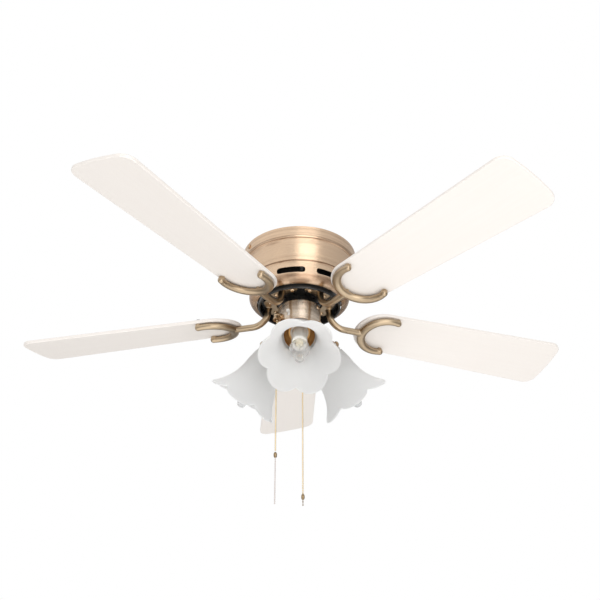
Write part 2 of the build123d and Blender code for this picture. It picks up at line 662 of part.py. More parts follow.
with BuildPart() as switch_housing:
    with BuildSketch(UPRIGHT):
        with BuildLine():
            Polyline(
                (SWITCH_R, SWITCH_TOP_Z), (SWITCH_R, SWITCH_BOTTOM_Z + 3),
                (SWITCH_R + 0.7, SWITCH_BOTTOM_Z + 2.2), (SWITCH_R + 0.7, SWITCH_BOTTOM_Z),
                (30, SWITCH_BOTTOM_Z), (30, SWITCH_BOTTOM_Z + SWITCH_T),
                (SWITCH_R - SWITCH_T, SWITCH_BOTTOM_Z + SWITCH_T), (SWITCH_R - SWITCH_T, SWITCH_TOP_Z),
                close=True,
            )
        make_face()
    revolve(axis=Axis.Z)
    with BuildSketch(facing_out(SPEED_AZ, 30, SPEED_Z)):
        Circle(SPEED_STUB_R + FIT)
    extrude(amount=12, mode=Mode.SUBTRACT)
    with BuildSketch(facing_out(REVERSE_AZ, 30, REVERSE_Z)):
        Rectangle(REVERSE_SLOT_W, REVERSE_SLOT_H)
    extrude(amount=12, mode=Mode.SUBTRACT)
    for azimuth in SWITCH_SCREW_AZ:
        with BuildSketch(facing_out(azimuth, 34, SWITCH_SCREW_Z)):
            Circle(SWITCH_SCREW_R + 0.35)
        extrude(amount=6, mode=Mode.SUBTRACT)
switch_housing.part.label = "switch_housing"
export_step(switch_housing.part, "parts/switch_housing.step")

with BuildPart() as switch_housing_screws:
    for azimuth in SWITCH_SCREW_AZ:
        with BuildSketch(facing_out(azimuth, 35, SWITCH_SCREW_Z)):
            Circle(SWITCH_SCREW_R)
        extrude(amount=SWITCH_R - 35)
        with BuildSketch(facing_out(azimuth, SWITCH_R + 0.1, SWITCH_SCREW_Z)):
            Circle(3.2)
        extrude(amount=1.8)
switch_housing_screws.part.label = "switch_housing_screws"
export_step(switch_housing_screws.part, "parts/switch_housing_screws.step")

# ------------------------------------------------------- what the switch housing holds
with BuildPart() as capacitor:
    with BuildSketch(level(60, -150)):
        with Locations((20, 0)):
            RectangleRounded(16, 34, 2)
    extrude(amount=24)
capacitor.part.label = "capacitor"
export_step(capacitor.part, "parts/capacitor.step")

with BuildPart() as speed_switch:
    with BuildSketch(facing_out(SPEED_AZ, 12, SPEED_Z)):
        RectangleRounded(16, 17, 2)
    extrude(amount=19)
    with BuildSketch(facing_out(SPEED_AZ, 31, SPEED_Z)):
        Circle(4.2)
        Circle(2.4, mode=Mode.SUBTRACT)
    extrude(amount=4)
speed_switch.part.label = "speed_switch"
export_step(speed_switch.part, "parts/speed_switch.step")

with BuildPart() as reverse_switch:
    with BuildSketch(facing_out(REVERSE_AZ, 27, REVERSE_Z)):
        RectangleRounded(10, 20, 1)
    extrude(amount=8)
reverse_switch.part.label = "reverse_switch"
export_step(reverse_switch.part, "parts/reverse_switch.step")

with BuildPart() as reverse_slider:
    with BuildSketch(facing_out(REVERSE_AZ, 35.4, REVERSE_Z + REVERSE_TRAVEL / 2)):
        RectangleRounded(5.2, 5, 0.8)
    extrude(amount=7)
reverse_slider.part.label = "reverse_slider"
export_step(reverse_slider.part, "parts/reverse_slider.step")

with BuildPart() as wire_nuts:
    for azimuth in (290, 318, 346):
        nut_x = 27 * cos(radians(azimuth))
        nut_y = 27 * sin(radians(azimuth))
        with Locations((nut_x, nut_y, -138)):
            Cone(4.2, 6, 16)
wire_nuts.part.label = "wire_nuts"
export_step(wire_nuts.part, "parts/wire_nuts.step")

# The speed chain comes out of an elbow: a stub through the wall and a mouth facing down.
ELBOW_BORE_R = 3.4
with BuildPart() as speed_bushing:
    with BuildSketch(facing_out(SPEED_AZ, 35.6, SPEED_Z)):
        Circle(SPEED_STUB_R)
    extrude(amount=10)
    with BuildSketch(facing_out(SPEED_AZ, SWITCH_R + 0.3, SPEED_Z)):
        Circle(6.4)
    extrude(amount=1.6)
    with Locations((SPEED_CHAIN_XY[0], SPEED_CHAIN_XY[1], SPEED_Z)):
        Sphere(6.0)
        Cone(7.6, 5.6, 9, align=FROM_ABOVE)
    with Locations((SPEED_CHAIN_XY[0], SPEED_CHAIN_XY[1], SPEED_Z)):
        Cylinder(ELBOW_BORE_R, 12, align=FROM_ABOVE, mode=Mode.SUBTRACT)
        Sphere(ELBOW_BORE_R, mode=Mode.SUBTRACT)
    with BuildSketch(facing_out(SPEED_AZ, 35.6, SPEED_Z)):
        Circle(2.4)
    extrude(amount=10, mode=Mode.SUBTRACT)
speed_bushing.part.label = "speed_bushing"
export_step(speed_bushing.part, "parts/speed_bushing.step")

# ------------------------------------------------------------------------- light kit
KIT_TOP_Z = SWITCH_BOTTOM_Z
CUP_BACK = -34.0            # inner end of a lamp arm, along the lamp's axis
ARM_R = 8.0
LIGHT_STUB_R = 3.6
LIGHT_STUB_L = 15.8
with BuildPart() as light_kit_body:
    with BuildSketch(UPRIGHT):
        with BuildLine():
            shoulder = Polyline(
                (38, KIT_TOP_Z), (39.5, KIT_TOP_Z - 1), (39.5, KIT_TOP_Z - 3), (36, KIT_TOP_Z - 4.5),
            )
            neck = ThreePointArc(shoulder @ 1, (29.4, KIT_TOP_Z - 8.4), (27, KIT_TOP_Z - 15))
            Polyline(
                neck @ 1, (27, -181), (18, -189), (5, -191.5), (5, -190), (17.4, -187.4), (25.6, -180.2),
                (25.6, KIT_TOP_Z - 15), (28.2, KIT_TOP_Z - 7.2), (35, KIT_TOP_Z - 3.2), (35, KIT_TOP_Z),
                shoulder @ 0,
            )
        make_face()
    revolve(axis=Axis.Z)
    for azimuth in LAMP_AZ:
        with BuildSketch(lamp_plane(azimuth, CUP_BACK - 2)):
            Circle(ARM_R + FIT)
        extrude(amount=24, mode=Mode.SUBTRACT)
    with BuildSketch(Plane.XY.offset(-195)):
        with Locations(LIGHT_CHAIN_XY):
            Circle(LIGHT_STUB_R + FIT)
    extrude(amount=12, mode=Mode.SUBTRACT)
light_kit_body.part.label = "light_kit_body"
export_step(light_kit_body.part, "parts/light_kit_body.step")

with BuildPart() as light_switch:
    with Locations((LIGHT_CHAIN_XY[0], LIGHT_CHAIN_XY[1], -183)):
        Cylinder(7.6, 12, align=FROM_BELOW)
light_switch.part.label = "light_switch"
export_step(light_switch.part, "parts/light_switch.step")

with BuildPart() as light_bushing:
    with Locations((LIGHT_CHAIN_XY[0], LIGHT_CHAIN_XY[1], -199)):
        Cylinder(LIGHT_STUB_R, LIGHT_STUB_L, align=FROM_BELOW)
        Cone(5.0, 4.4, 5, align=FROM_BELOW)
        Cylinder(2.3, LIGHT_STUB_L, align=FROM_BELOW, mode=Mode.SUBTRACT)
light_bushing.part.label = "light_bushing"
export_step(light_bushing.part, "parts/light_bushing.step")

with BuildPart() as kit_finial:
    with BuildSketch(UPRIGHT):
        with BuildLine():
            stem = Polyline((0, -186), (4.9, -186), (4.9, -191.8), (8, -191.8), (8, -194))
            ball = ThreePointArc(stem @ 1, (6.2, -199.4), (1.4, -202.4))
            Polyline(ball @ 1, (0, -202.4), stem @ 0)
        make_face()
    revolve(axis=Axis.Z)
kit_finial.part.label = "kit_finial"
export_step(kit_finial.part, "parts/kit_finial.step")

SOCKET_FACE = 44.0          # outer end of a socket, along the lamp's axis
BULB_TIP = 119.0
for index, azimuth in enumerate(LAMP_AZ, start=1):
    section = lamp_section(azimuth)
    lamp_axis = Axis(section.origin, section.y_dir)

    with BuildPart() as cup:
        with BuildSketch(section):
            with BuildLine():
                Polyline(
                    (6, CUP_BACK), (ARM_R, CUP_BACK), (ARM_R, -15), (19.5, -14.6), (26.5, -10), (30.6, -3),
                    (30.6, 7), (32, 8), (32, 10), (29.2, 10), (29.2, -2.2), (25.4, -8.8), (19, -13.2),
                    (6, -13.6),
                    close=True,
                )
            make_face()
        revolve(axis=lamp_axis)
        for turn in range(SCREWS_PER_CUP):
            with BuildSketch(cup_screw_plane(index - 1, turn, 26)):
                Circle(CUP_SCREW_R + FIT)
            extrude(amount=8, mode=Mode.SUBTRACT)
    cup.part.label = f"lamp_cup_{index}"
    export_step(cup.part, f"parts/lamp_cup_{index}.step")

    with BuildPart() as shade:
        with BuildSketch(section):
            with BuildLine():
                lip = Polyline((25.2, 0), (28.4, 0), (28.4, 3), (26.2, 4.6), (26.2, 11))
                outside = Spline(
                    lip @ 1, (33.6, 36), (40.6, 78), (SHADE_MOUTH_R, SHADE_L),
                    tangents=[(0, 1), (1.6, 1)],
                )
                edge = Line(outside @ 1, (SHADE_MOUTH_R - 1.6, SHADE_L + 2.4))
                Spline(
                    edge @ 1, (37.7, 79), (30.6, 36.4), (23.2, 11),
                    tangents=[(-1.6, -1), (0, -1)],
                )
                Line((23.2, 11), lip @ 0)
            make_face()
        revolve(axis=lamp_axis)
        with BuildSketch(lamp_plane(azimuth, SHADE_L - 30)):
            with PolarLocations(SHADE_MOUTH_R + 1, SCALLOPS):
                Circle(SCALLOP_R)
        extrude(amount=50, mode=Mode.SUBTRACT)
    shade.part.label = f"shade_{index}"
    export_step(shade.part, f"parts/shade_{index}.step")

    with BuildPart() as bulb:
        with BuildSketch(section):
            with BuildLine():
                skin = Spline(
                    (7, SOCKET_FACE), (17.4, 71), (8.4, 106), (0, BULB_TIP),
                    tangents=[(0.5, 1), (-1, 0)],
                )
                tip_wall = Line(skin @ 1, (0, BULB_TIP - 1.4))
                lining = Spline(
                    tip_wall @ 1, (7.4, 105.2), (16.5, 71), (6.1, SOCKET_FACE),
                    tangents=[(1, 0), (-0.5, -1)],
                )
                Line(lining @ 1, skin @ 0)
            make_face()
        revolve(axis=lamp_axis)
    bulb.part.label = f"bulb_glass_{index}"
    export_step(bulb.part, f"parts/bulb_glass_{index}.step")

with BuildPart() as lamp_sockets:
    for azimuth in LAMP_AZ:
        section = lamp_section(azimuth)
        with BuildSketch(section):
            with BuildLine():
                Polyline(
                    (0, -12.4), (16, -12.4), (16, -9), (13.5, -8), (13.5, SOCKET_FACE), (8.2, SOCKET_FACE),
                    (8.2, 17), (0, 17),
                    close=True,
                )
            make_face()
        revolve(axis=Axis(section.origin, section.y_dir))
lamp_sockets.part.label = "lamp_sockets"
export_step(lamp_sockets.part, "parts/lamp_sockets.step")

with BuildPart() as bulb_bases:
    for azimuth in LAMP_AZ:
        section = lamp_section(azimuth)
        with BuildSketch(section):
            with BuildLine():
                Polyline(
                    (0, 17.4), (2.4, 17.4), (4.4, 21), (6.9, 24), (6.9, SOCKET_FACE - FIT),
                    (0, SOCKET_FACE - FIT),
                    close=True,
                )
            make_face()
        revolve(axis=Axis(section.origin, section.y_dir))
bulb_bases.part.label = "bulb_bases"
export_step(bulb_bases.part, "parts/bulb_bases.step")

with BuildPart() as shade_screws:
    for lamp in range(len(LAMP_AZ)):
        for turn in range(SCREWS_PER_CUP):
            with BuildSketch(cup_screw_plane(lamp, turn, 28.6)):
                Circle(CUP_SCREW_R)
            extrude(amount=CUP_SCREW_HEAD_FROM - 28.6)
            with BuildSketch(cup_screw_plane(lamp, turn, CUP_SCREW_HEAD_FROM)):
                Circle(5.2)
            extrude(amount=4.5)
shade_screws.part.label = "shade_screws"
export_step(shade_screws.part, "parts/shade_screws.step")

# ----------------------------------------------------------------------- pull chains
speed_coupling_top = SPEED_COUPLING_Z + COUPLING_H / 2
with BuildPart() as speed_chain:
    with BuildSketch(Plane.XY.offset(speed_coupling_top)):
        with Locations(SPEED_CHAIN_XY):
            Circle(CHAIN_D / 2)
    extrude(amount=SPEED_CHAIN_TOP - speed_coupling_top)
speed_chain.part.label = "speed_chain"
export_step(speed_chain.part, "parts/speed_chain.step")

with BuildPart() as speed_coupling:
    with Locations((SPEED_CHAIN_XY[0], SPEED_CHAIN_XY[1], SPEED_COUPLING_Z)):
        Cylinder(COUPLING_R, COUPLING_H)
    fillet(speed_coupling.edges(), COUPLING_FILLET)
speed_coupling.part.label = "speed_coupling"
export_step(speed_coupling.part, "parts/speed_coupling.step")

with BuildPart() as speed_chain_tail:
    with BuildSketch(Plane.XY.offset(SPEED_CHAIN_END)):
        with Locations(SPEED_CHAIN_XY):
            Circle(TAIL_D / 2)
    extrude(amount=speed_coupling_top - COUPLING_H - SPEED_CHAIN_END)
speed_chain_tail.part.label = "speed_chain_tail"
export_step(speed_chain_tail.part, "parts/speed_chain_tail.step")

light_coupling_top = LIGHT_COUPLING_Z + COUPLING_H / 2
with BuildPart() as light_chain:
    with BuildSketch(Plane.XY.offset(light_coupling_top)):
        with Locations(LIGHT_CHAIN_XY):
            Circle(CHAIN_D / 2)
    extrude(amount=LIGHT_CHAIN_TOP - light_coupling_top)
light_chain.part.label = "light_chain"
export_step(light_chain.part, "parts/light_chain.step")

with BuildPart() as light_coupling:
    with Locations((LIGHT_CHAIN_XY[0], LIGHT_CHAIN_XY[1], LIGHT_COUPLING_Z)):
        Cylinder(COUPLING_R, COUPLING_H)
    fillet(light_coupling.edges(), COUPLING_FILLET)
    with BuildSketch(Plane.XY.offset(LIGHT_CHAIN_END)):
        with Locations(LIGHT_CHAIN_XY):
            Circle(TAIL_D / 2)
    extrude(amount=light_coupling_top - COUPLING_H - LIGHT_CHAIN_END)
light_coupling.part.label = "light_coupling"
export_step(light_coupling.part, "parts/light_coupling.step")
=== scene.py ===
# %% [markdown]
# # A ceiling fan with a light kit
# This file dresses a finished mechanical model. The model already holds every part of the
# fan at its real size, so nothing here moves or resizes one. What is added is the look: the
# turned brass, the white blades, the ruffled glass, the beads of the pull chains and the
# small heads of the screws, all under plain studio light.
#
# The mechanical model is loaded first.

from math import cos, pi, radians, sin

import bmesh
import bpy
from mathutils import Matrix, Vector


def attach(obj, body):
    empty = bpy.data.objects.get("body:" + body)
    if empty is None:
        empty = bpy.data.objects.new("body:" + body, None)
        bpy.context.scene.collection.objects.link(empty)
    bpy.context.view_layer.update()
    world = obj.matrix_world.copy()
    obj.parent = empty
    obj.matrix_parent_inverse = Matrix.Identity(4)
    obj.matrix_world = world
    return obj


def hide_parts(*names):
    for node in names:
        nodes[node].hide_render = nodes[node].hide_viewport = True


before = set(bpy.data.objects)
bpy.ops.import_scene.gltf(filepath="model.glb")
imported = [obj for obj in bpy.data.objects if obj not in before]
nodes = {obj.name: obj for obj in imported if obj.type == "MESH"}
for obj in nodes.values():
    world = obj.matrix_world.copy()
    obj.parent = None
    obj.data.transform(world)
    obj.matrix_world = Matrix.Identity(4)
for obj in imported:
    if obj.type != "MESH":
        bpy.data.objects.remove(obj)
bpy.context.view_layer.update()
MM = 0.001

# %% [markdown]
# ## Where the working parts are
# The fan hangs under the ceiling, which is the plane z = 0, and turns about the z axis. Each
# lamp sits on its own slanting axis, so most shapes of the light kit are drawn upright at
# the origin and then carried onto that axis by one matrix. The same goes for a blade.

# %% Driving sizes, in metres
LAMP_AZIMUTHS = (270.0, 30.0, 150.0)  # degrees round the fan's axis
LAMP_TILT = 48.0  # each lamp points this far below the horizontal
LAMP_NECK_R = 46.0 * MM
LAMP_NECK_Z = -189.5 * MM
BLADE_AZIMUTHS = [21.3 + 72.0 * index for index in range(5)]
BLADE_PITCH = 12.3
BLADE_Z = -131.0 * MM
BLADE_T = 6.0 * MM


def columns(x_axis, y_axis, z_axis, origin):
    """Matrix that carries a shape drawn at the origin to that place and turn."""
    turn = Matrix((x_axis, y_axis, z_axis)).transposed().to_4x4()
    return Matrix.Translation(origin) @ turn


def lamp_matrix(azimuth):
    """Local z runs out along the lamp, local x points to its upper side."""
    a, t = radians(azimuth), radians(LAMP_TILT)
    axis = Vector((cos(a) * cos(t), sin(a) * cos(t), -sin(t)))
    top = Vector((cos(a) * sin(t), sin(a) * sin(t), cos(t)))
    neck = Vector((LAMP_NECK_R * cos(a), LAMP_NECK_R * sin(a), LAMP_NECK_Z))
    return columns(top, axis.cross(top), axis, neck)


def blade_matrix(azimuth):
    """Local x runs out along the blade, local z is up through its thickness."""
    a, p = radians(azimuth), radians(BLADE_PITCH)
    along = Vector((cos(a), sin(a), 0))
    normal = Vector((-sin(a) * sin(p), cos(a) * sin(p), cos(p)))
    return columns(along, normal.cross(along), normal, Vector((0, 0, BLADE_Z)))


print("lamp axes:", [tuple(round(v, 3) for v in lamp_matrix(a).col[2][:3]) for a in LAMP_AZIMUTHS])

# %% [markdown]
# ## Camera, background and light
# A product shot of a fan is taken from below and in front. The camera sees a white room, and
# one tall soft box stands behind it and to its right: brushed metal draws the box out into
# the bright upright band on the housing. A wide panel near the floor shines straight up at
# the undersides of the blades. What the metal reflects of the room is a soft grey that gets
# darker towards the right and the back, and its low walls are darker still, because metal
# looks flat when everything round it is equally bright.

# %% Camera
CAMERA_AT = (0.0, -1.45, -0.95)
CAMERA_PITCH = 120.62  # 90 would look level
CAMERA_ROLL = 0.08
CAMERA_LENS = 54.78

scene = bpy.context.scene
camera_data = bpy.data.cameras.new("camera")
camera_data.lens = CAMERA_LENS
camera_data.sensor_width = 36.0
camera = bpy.data.objects.new("camera", camera_data)
camera.location = CAMERA_AT
camera.rotation_euler = (radians(CAMERA_PITCH), radians(CAMERA_ROLL), 0)
scene.collection.objects.link(camera)
scene.camera = camera
scene.view_settings.view_transform = "Standard"
print("camera at", CAMERA_AT, "lens", CAMERA_LENS)

# %% [markdown]
# ## Writing shader maths as plain expressions
# A node graph is hard to read as code, so a small class wraps one socket and turns Python's
# operators into Math nodes. Every other node is added by one method, which sets the node's
# own settings first and then fills or links its sockets.

# %% Sockets that can be added and multiplied


class Wire:
    """The output of a node. Arithmetic on it adds Math nodes to the same graph."""

    def __init__(self, graph, socket):
        self.graph = graph
        self.socket = socket

    def math(self, operation, *values):
        return self.graph.node("ShaderNodeMath", {"operation": operation}, dict(enumerate(values)))

    def __add__(self, other):
        return self.math("ADD", self, other)

    def __radd__(self, other):
        return self.math("ADD", other, self)

    def __sub__(self, other):
        return self.math("SUBTRACT", self, other)

    def __rsub__(self, other):
        return self.math("SUBTRACT", other, self)

    def __mul__(self, other):
        return self.math("MULTIPLY", self, other)

    def __rmul__(self, other):
        return self.math("MULTIPLY", other, self)

    def __truediv__(self, other):
        return self.math("DIVIDE", self, other)

    def __pow__(self, other):
        return self.math("POWER", self, other)

    def __abs__(self):
        return self.math("ABSOLUTE", self)

    def clamp(self):
        """The value kept between 0 and 1."""
        low = self.math("MAXIMUM", self, 0.0)
        return self.math("MINIMUM", low, 1.0)


class Graph:
    """A node tree that is being built."""

    def __init__(self, tree):
        self.tree = tree
        tree.nodes.clear()

    def node(self, kind, settings=None, sockets=None, out=0):
        made = self.tree.nodes.new(kind)
        for name, value in (settings or {}).items():
            setattr(made, name, value)
        for key, value in (sockets or {}).items():
            if isinstance(value, Wire):
                self.tree.links.new(value.socket, made.inputs[key])
            else:
                made.inputs[key].default_value = value
        return Wire(self, made.outputs[out] if made.outputs else None)

    def mix(self, factor, first, second):
        """A colour between two colours."""
        settings = {"data_type": "RGBA"}
        return self.node("ShaderNodeMix", settings, {0: factor, 6: first, 7: second}, out=2)

    def noise(self, vector, scale, detail=3.0, rough=0.5):
        sockets = {"Vector": vector, "Scale": scale, "Detail": detail, "Roughness": rough}
        return self.node("ShaderNodeTexNoise", {}, sockets)

    def lines(self, place, scale, detail=3.0, rough=0.5):
        """Noise that varies along one measure only, as the marks of a lathe tool do."""
        sockets = {"W": place, "Scale": scale, "Detail": detail, "Roughness": rough}
        return self.node("ShaderNodeTexNoise", {"noise_dimensions": "1D"}, sockets)

    def vector_math(self, operation, *vectors):
        """The result is a vector, except for the two operations that measure one number."""
        out = 1 if operation in ("DOT_PRODUCT", "LENGTH") else 0
        return self.node("ShaderNodeVectorMath", {"operation": operation}, dict(enumerate(vectors)), out)

    def position(self):
        """The place on the object, in metres, which is the same in every pose."""
        return self.node("ShaderNodeTexCoord", out="Object")


class Finish(Graph):
    """A material. The sockets of its one shader are given by name."""

    def __init__(self, name):
        self.material = bpy.data.materials.new(name)
        self.material.use_nodes = True
        super().__init__(self.material.node_tree)

    def bump(self, height, depth, strength=1.0):
        sockets = {"Height": height, "Distance": depth, "Strength": strength}
        return self.node("ShaderNodeBump", {}, sockets)

    def shade(self, **sockets):
        named = {key.replace("_", " "): value for key, value in sockets.items()}
        shader = self.node("ShaderNodeBsdfPrincipled", {}, named)
        self.node("ShaderNodeOutputMaterial", {}, {"Surface": shader})
        return self.material


print("shader helpers ready")

# %% Surroundings and lamps
ROOM_LIGHT = 0.82
ROOM_LEFT = 0.16  # how much lighter the left side is
ROOM_BACK = 0.22  # how much darker the side behind the fan is
HORIZON_DARK = 0.72  # share of the light that the low walls lack
HORIZON_AT = -0.24  # middle of the low walls, as the height of a line of sight
HORIZON_HALF = 0.30
HORIZON_FULL = 1.6  # more makes the darkest part of the low walls taller

world = bpy.data.worlds.new("studio")
scene.world = world
world.use_nodes = True
room = Graph(world.node_tree)
direction = room.node("ShaderNodeTexCoord", out="Generated")
rightward, backward, upward = (
    room.node("ShaderNodeSeparateXYZ", {}, {0: direction}, out=part) for part in range(3)
)
seen = room.node("ShaderNodeLightPath", out="Is Camera Ray")
low_walls = ((1 - abs(upward - HORIZON_AT) / HORIZON_HALF).clamp() * HORIZON_FULL).clamp()
walls = ROOM_LIGHT - ROOM_LEFT * rightward - ROOM_BACK * backward
strength = walls * (1 - HORIZON_DARK * low_walls) * (1 - seen) + seen
background = room.node("ShaderNodeBackground", {}, {"Strength": strength, "Color": (1, 1, 1, 1)})
room.node("ShaderNodeOutputWorld", {}, {"Surface": background})


def soft_box(name, place, target, width, height, power):
    """A rectangular studio light that faces a point."""
    data = bpy.data.lights.new(name, "AREA")
    data.shape = "RECTANGLE"
    data.size = width
    data.size_y = height
    data.energy = power
    light = bpy.data.objects.new(name, data)
    light.location = place
    light.rotation_euler = (Vector(target) - Vector(place)).to_track_quat("-Z", "Y").to_euler()
    light.visible_camera = False
    scene.collection.objects.link(light)


FAN_MIDDLE = (0.0, 0.0, -0.13)
BOX_AT = (0.64, -2.2, -0.6)
PANEL_AT = (-0.6, -0.5, -2.4)
ABOVE_PANEL = (-0.6, -0.5, 0.0)

soft_box("front_box", BOX_AT, FAN_MIDDLE, width=1.7, height=3.2, power=27.0)
soft_box("under_panel", PANEL_AT, ABOVE_PANEL, width=5.0, height=5.0, power=52.0)
print("2 soft boxes, room light", ROOM_LIGHT)

# %% [markdown]
# ## Floor
# The floor lies a room's height below the ceiling. It only throws light back up.

# %% Floor
ROOM_HEIGHT = 2.5
FLOOR_HALF = 4.0

floor_shape = bmesh.new()
bmesh.ops.create_grid(floor_shape, x_segments=4, y_segments=4, size=FLOOR_HALF)
bmesh.ops.translate(floor_shape, verts=floor_shape.verts, vec=(0, 0, -ROOM_HEIGHT))
floor_mesh = bpy.data.meshes.new("floor")
floor_shape.to_mesh(floor_mesh)
floor_shape.free()
floor = bpy.data.objects.new("floor", floor_mesh)
scene.collection.objects.link(floor)

plain = Finish("pale_floor")
speckle = plain.noise(plain.position(), 60.0)
floor_colour = plain.mix(speckle, (0.78, 0.78, 0.78, 1), (0.84, 0.84, 0.84, 1))
floor_mesh.materials.append(plain.shade(Base_Color=floor_colour, Roughness=0.7))
print("floor at", -ROOM_HEIGHT)

# %% [markdown]
# ## Antique brass, turned on a lathe
# The housing, the switch housing and the shade cups are spun sheet, brushed while they
# turn. The brush leaves fine rings, and those rings spread every reflection up and down,
# which is why a round brass cup shows upright bands of light. A noise that depends only on
# the distance along the profile gives rings on any lathe shape, so the axis of the lathe is
# all that changes from piece to piece. Antique brass is also stained: darker brown stays in
# the steps where the polishing mop does not reach.
# Not all of the darker brown is stain. On the housing, the bands under the bead, below the slots and on the
# bowl are painted reflections: the brass is painted dark where it would mirror a dark room.

# %% Turned brass
BRASS_LIGHT = (0.76, 0.555, 0.385, 1)
BRASS_PALE = (0.82, 0.685, 0.55, 1)
BRASS_BROWN = (0.27, 0.15, 0.085, 1)
RING_SCALE = 2400.0  # the finest rings, to the metre
BAND_SCALE = 130.0  # broad bands of stain, to the metre
CLOUD_SCALE = 16.0  # blotches that break the bands up
DARK_BAND_STRENGTH = 0.95  # how brown a dark band gets: patina in a step, or a painted dark reflection
RING_DEPTH = 0.45 * MM


def turned_brass(name, origin, axis, patina_and_painted_reflections=(), light=BRASS_LIGHT):
    """Brass brushed round an axis. patina_and_painted_reflections are dark bands, each (place on the axis,
    half width, broken up): patina in a step, or a painted dark reflection.
    """
    finish = Finish(name)
    offset = finish.vector_math("SUBTRACT", finish.position(), origin)
    along = finish.vector_math("DOT_PRODUCT", offset, axis)
    reach = finish.vector_math("LENGTH", offset)
    radius = (reach * reach - along * along) ** 0.5
    # Both measures count, so that flat rims and upright walls get rings alike.
    profile = along * 0.8 + radius * 0.6
    fine = finish.lines(profile, RING_SCALE, 5.0, 0.65)
    broad = finish.lines(profile, BAND_SCALE, 2.0)
    cloud = finish.noise(finish.position(), CLOUD_SCALE, 4.0)
    stain_and_painted_reflection = (broad - 0.46) * 0.9 + (cloud - 0.5) * 0.35 + (fine - 0.5) * 0.22
    patches = ((cloud - 0.44) * 5.0).clamp()
    # Each band darkens the brass towards brown: patina in a step, or a painted dark reflection.
    for place, half_width, broken in patina_and_painted_reflections:
        step = (1 - abs(along - place) / half_width).clamp() * DARK_BAND_STRENGTH
        stain_and_painted_reflection = stain_and_painted_reflection + step * (1 - broken + patches * broken)
    colour = finish.mix(stain_and_painted_reflection.clamp(), light, BRASS_BROWN)
    return finish.shade(
        Base_Color=colour,
        Metallic=1.0,
        Roughness=0.21 + fine * 0.10,
        Anisotropic=1.0,
        Anisotropic_Rotation=0.25,
        Coat_Weight=0.2,
        Coat_Roughness=0.06,
        Normal=finish.bump(fine * 0.8 + broad * 0.2, RING_DEPTH, 0.28),
    )


# Dark bands on the housing. The narrow ones at -19.4, -22.6 and -65 mm are patina in its grooves. The ones
# under the bead, below the slots and on the bowl are painted dark reflections.
HOUSING_PATINA_AND_PAINTED_REFLECTIONS = (
    (-19.4 * MM, 0.7 * MM, 0.0),
    (-22.6 * MM, 1.3 * MM, 0.0),
    (-27.5 * MM, 4.5 * MM, 1.0),
    (-65.0 * MM, 1.6 * MM, 0.0),
    (-94.0 * MM, 5.5 * MM, 0.5),
    (-101.0 * MM, 7.0 * MM, 0.7),
)
CENTRE_STEPS = ((-158.0 * MM, 1.0 * MM, 0.0),)
FAN_TOP = (0, 0, 0)
FAN_AXIS = (0, 0, 1)

housing_brass = turned_brass("housing_brass", FAN_TOP, FAN_AXIS, HOUSING_PATINA_AND_PAINTED_REFLECTIONS)
centre_brass = turned_brass("centre_brass", FAN_TOP, FAN_AXIS, CENTRE_STEPS, BRASS_PALE)
cup_brass = []
for number, azimuth in enumerate(LAMP_AZIMUTHS, start=1):
    place = lamp_matrix(azimuth)
    cup_brass.append(turned_brass(f"cup_brass_{number}", place.translation[:], place.col[2][:3]))
print("turned brass:", 2 + len(cup_brass), "finishes")

# %% [markdown]
# ## Cast and drawn metals
# The blade irons are cast, then barrelled and plated, so their skin has soft clouds and
# a fine grain instead of rings. The shaft, the bearings and the blades' screws are bright
# steel and the other screws in sight are brass. The motor's covers are dipped in black
# enamel, and its coils are lacquered copper wire.

# %% A helper for skins without a direction


def clouded(name, light, dark, metallic, rough, cloud_scale, grain_scale, depth):
    """A skin whose colour and gloss vary in clouds, with a fine grain on it."""
    finish = Finish(name)
    place = finish.position()
    cloud = finish.noise(place, cloud_scale, 4.0, 0.6)
    grain = finish.noise(place, grain_scale, 3.0, 0.6)
    tone = ((cloud - 0.38) * 2.2 + (grain - 0.5) * 0.4).clamp()
    return finish.shade(
        Base_Color=finish.mix(tone, light, dark),
        Metallic=metallic,
        Roughness=rough + cloud * 0.10 + grain * 0.06,
        Normal=finish.bump(grain, depth, 0.5),
    )


iron_brass = clouded(
    "iron_brass", (0.53, 0.41, 0.275, 1), (0.37, 0.27, 0.175, 1), 1.0, 0.23, 14.0, 700.0, 0.008 * MM
)
screw_brass = clouded(
    "screw_brass", (0.72, 0.55, 0.37, 1), (0.42, 0.29, 0.18, 1), 1.0, 0.16, 90.0, 1500.0, 0.03 * MM
)
bright_steel = clouded(
    "bright_steel", (0.62, 0.62, 0.61, 1), (0.44, 0.44, 0.44, 1), 1.0, 0.22, 60.0, 1800.0, 0.02 * MM
)
black_enamel = clouded(
    "black_enamel", (0.016, 0.015, 0.014, 1), (0.008, 0.008, 0.008, 1), 0.0, 0.16, 40.0, 420.0, 0.10 * MM
)
black_rubber = clouded(
    "black_rubber", (0.030, 0.029, 0.028, 1), (0.018, 0.018, 0.018, 1), 0.0, 0.62, 50.0, 1400.0, 0.06 * MM
)
black_moulding = clouded(
    "black_moulding", (0.030, 0.030, 0.032, 1), (0.020, 0.020, 0.021, 1), 0.0, 0.36, 60.0, 1100.0, 0.03 * MM
)
white_moulding = clouded(
    "white_moulding", (0.86, 0.84, 0.80, 1), (0.80, 0.775, 0.73, 1), 0.0, 0.30, 70.0, 1300.0, 0.02 * MM
)
socket_white = clouded(
    "socket_white", (0.95, 0.92, 0.86, 1), (0.92, 0.885, 0.82, 1), 0.0, 0.34, 70.0, 1300.0, 0.02 * MM
)
copper_wire = clouded(
    "copper_wire", (0.72, 0.30, 0.15, 1), (0.45, 0.16, 0.07, 1), 1.0, 0.25, 120.0, 2200.0, 0.08 * MM
)
cap_metal = clouded(
    "cap_metal", (0.78, 0.70, 0.52, 1), (0.58, 0.50, 0.36, 1), 1.0, 0.22, 120.0, 1500.0, 0.03 * MM
)
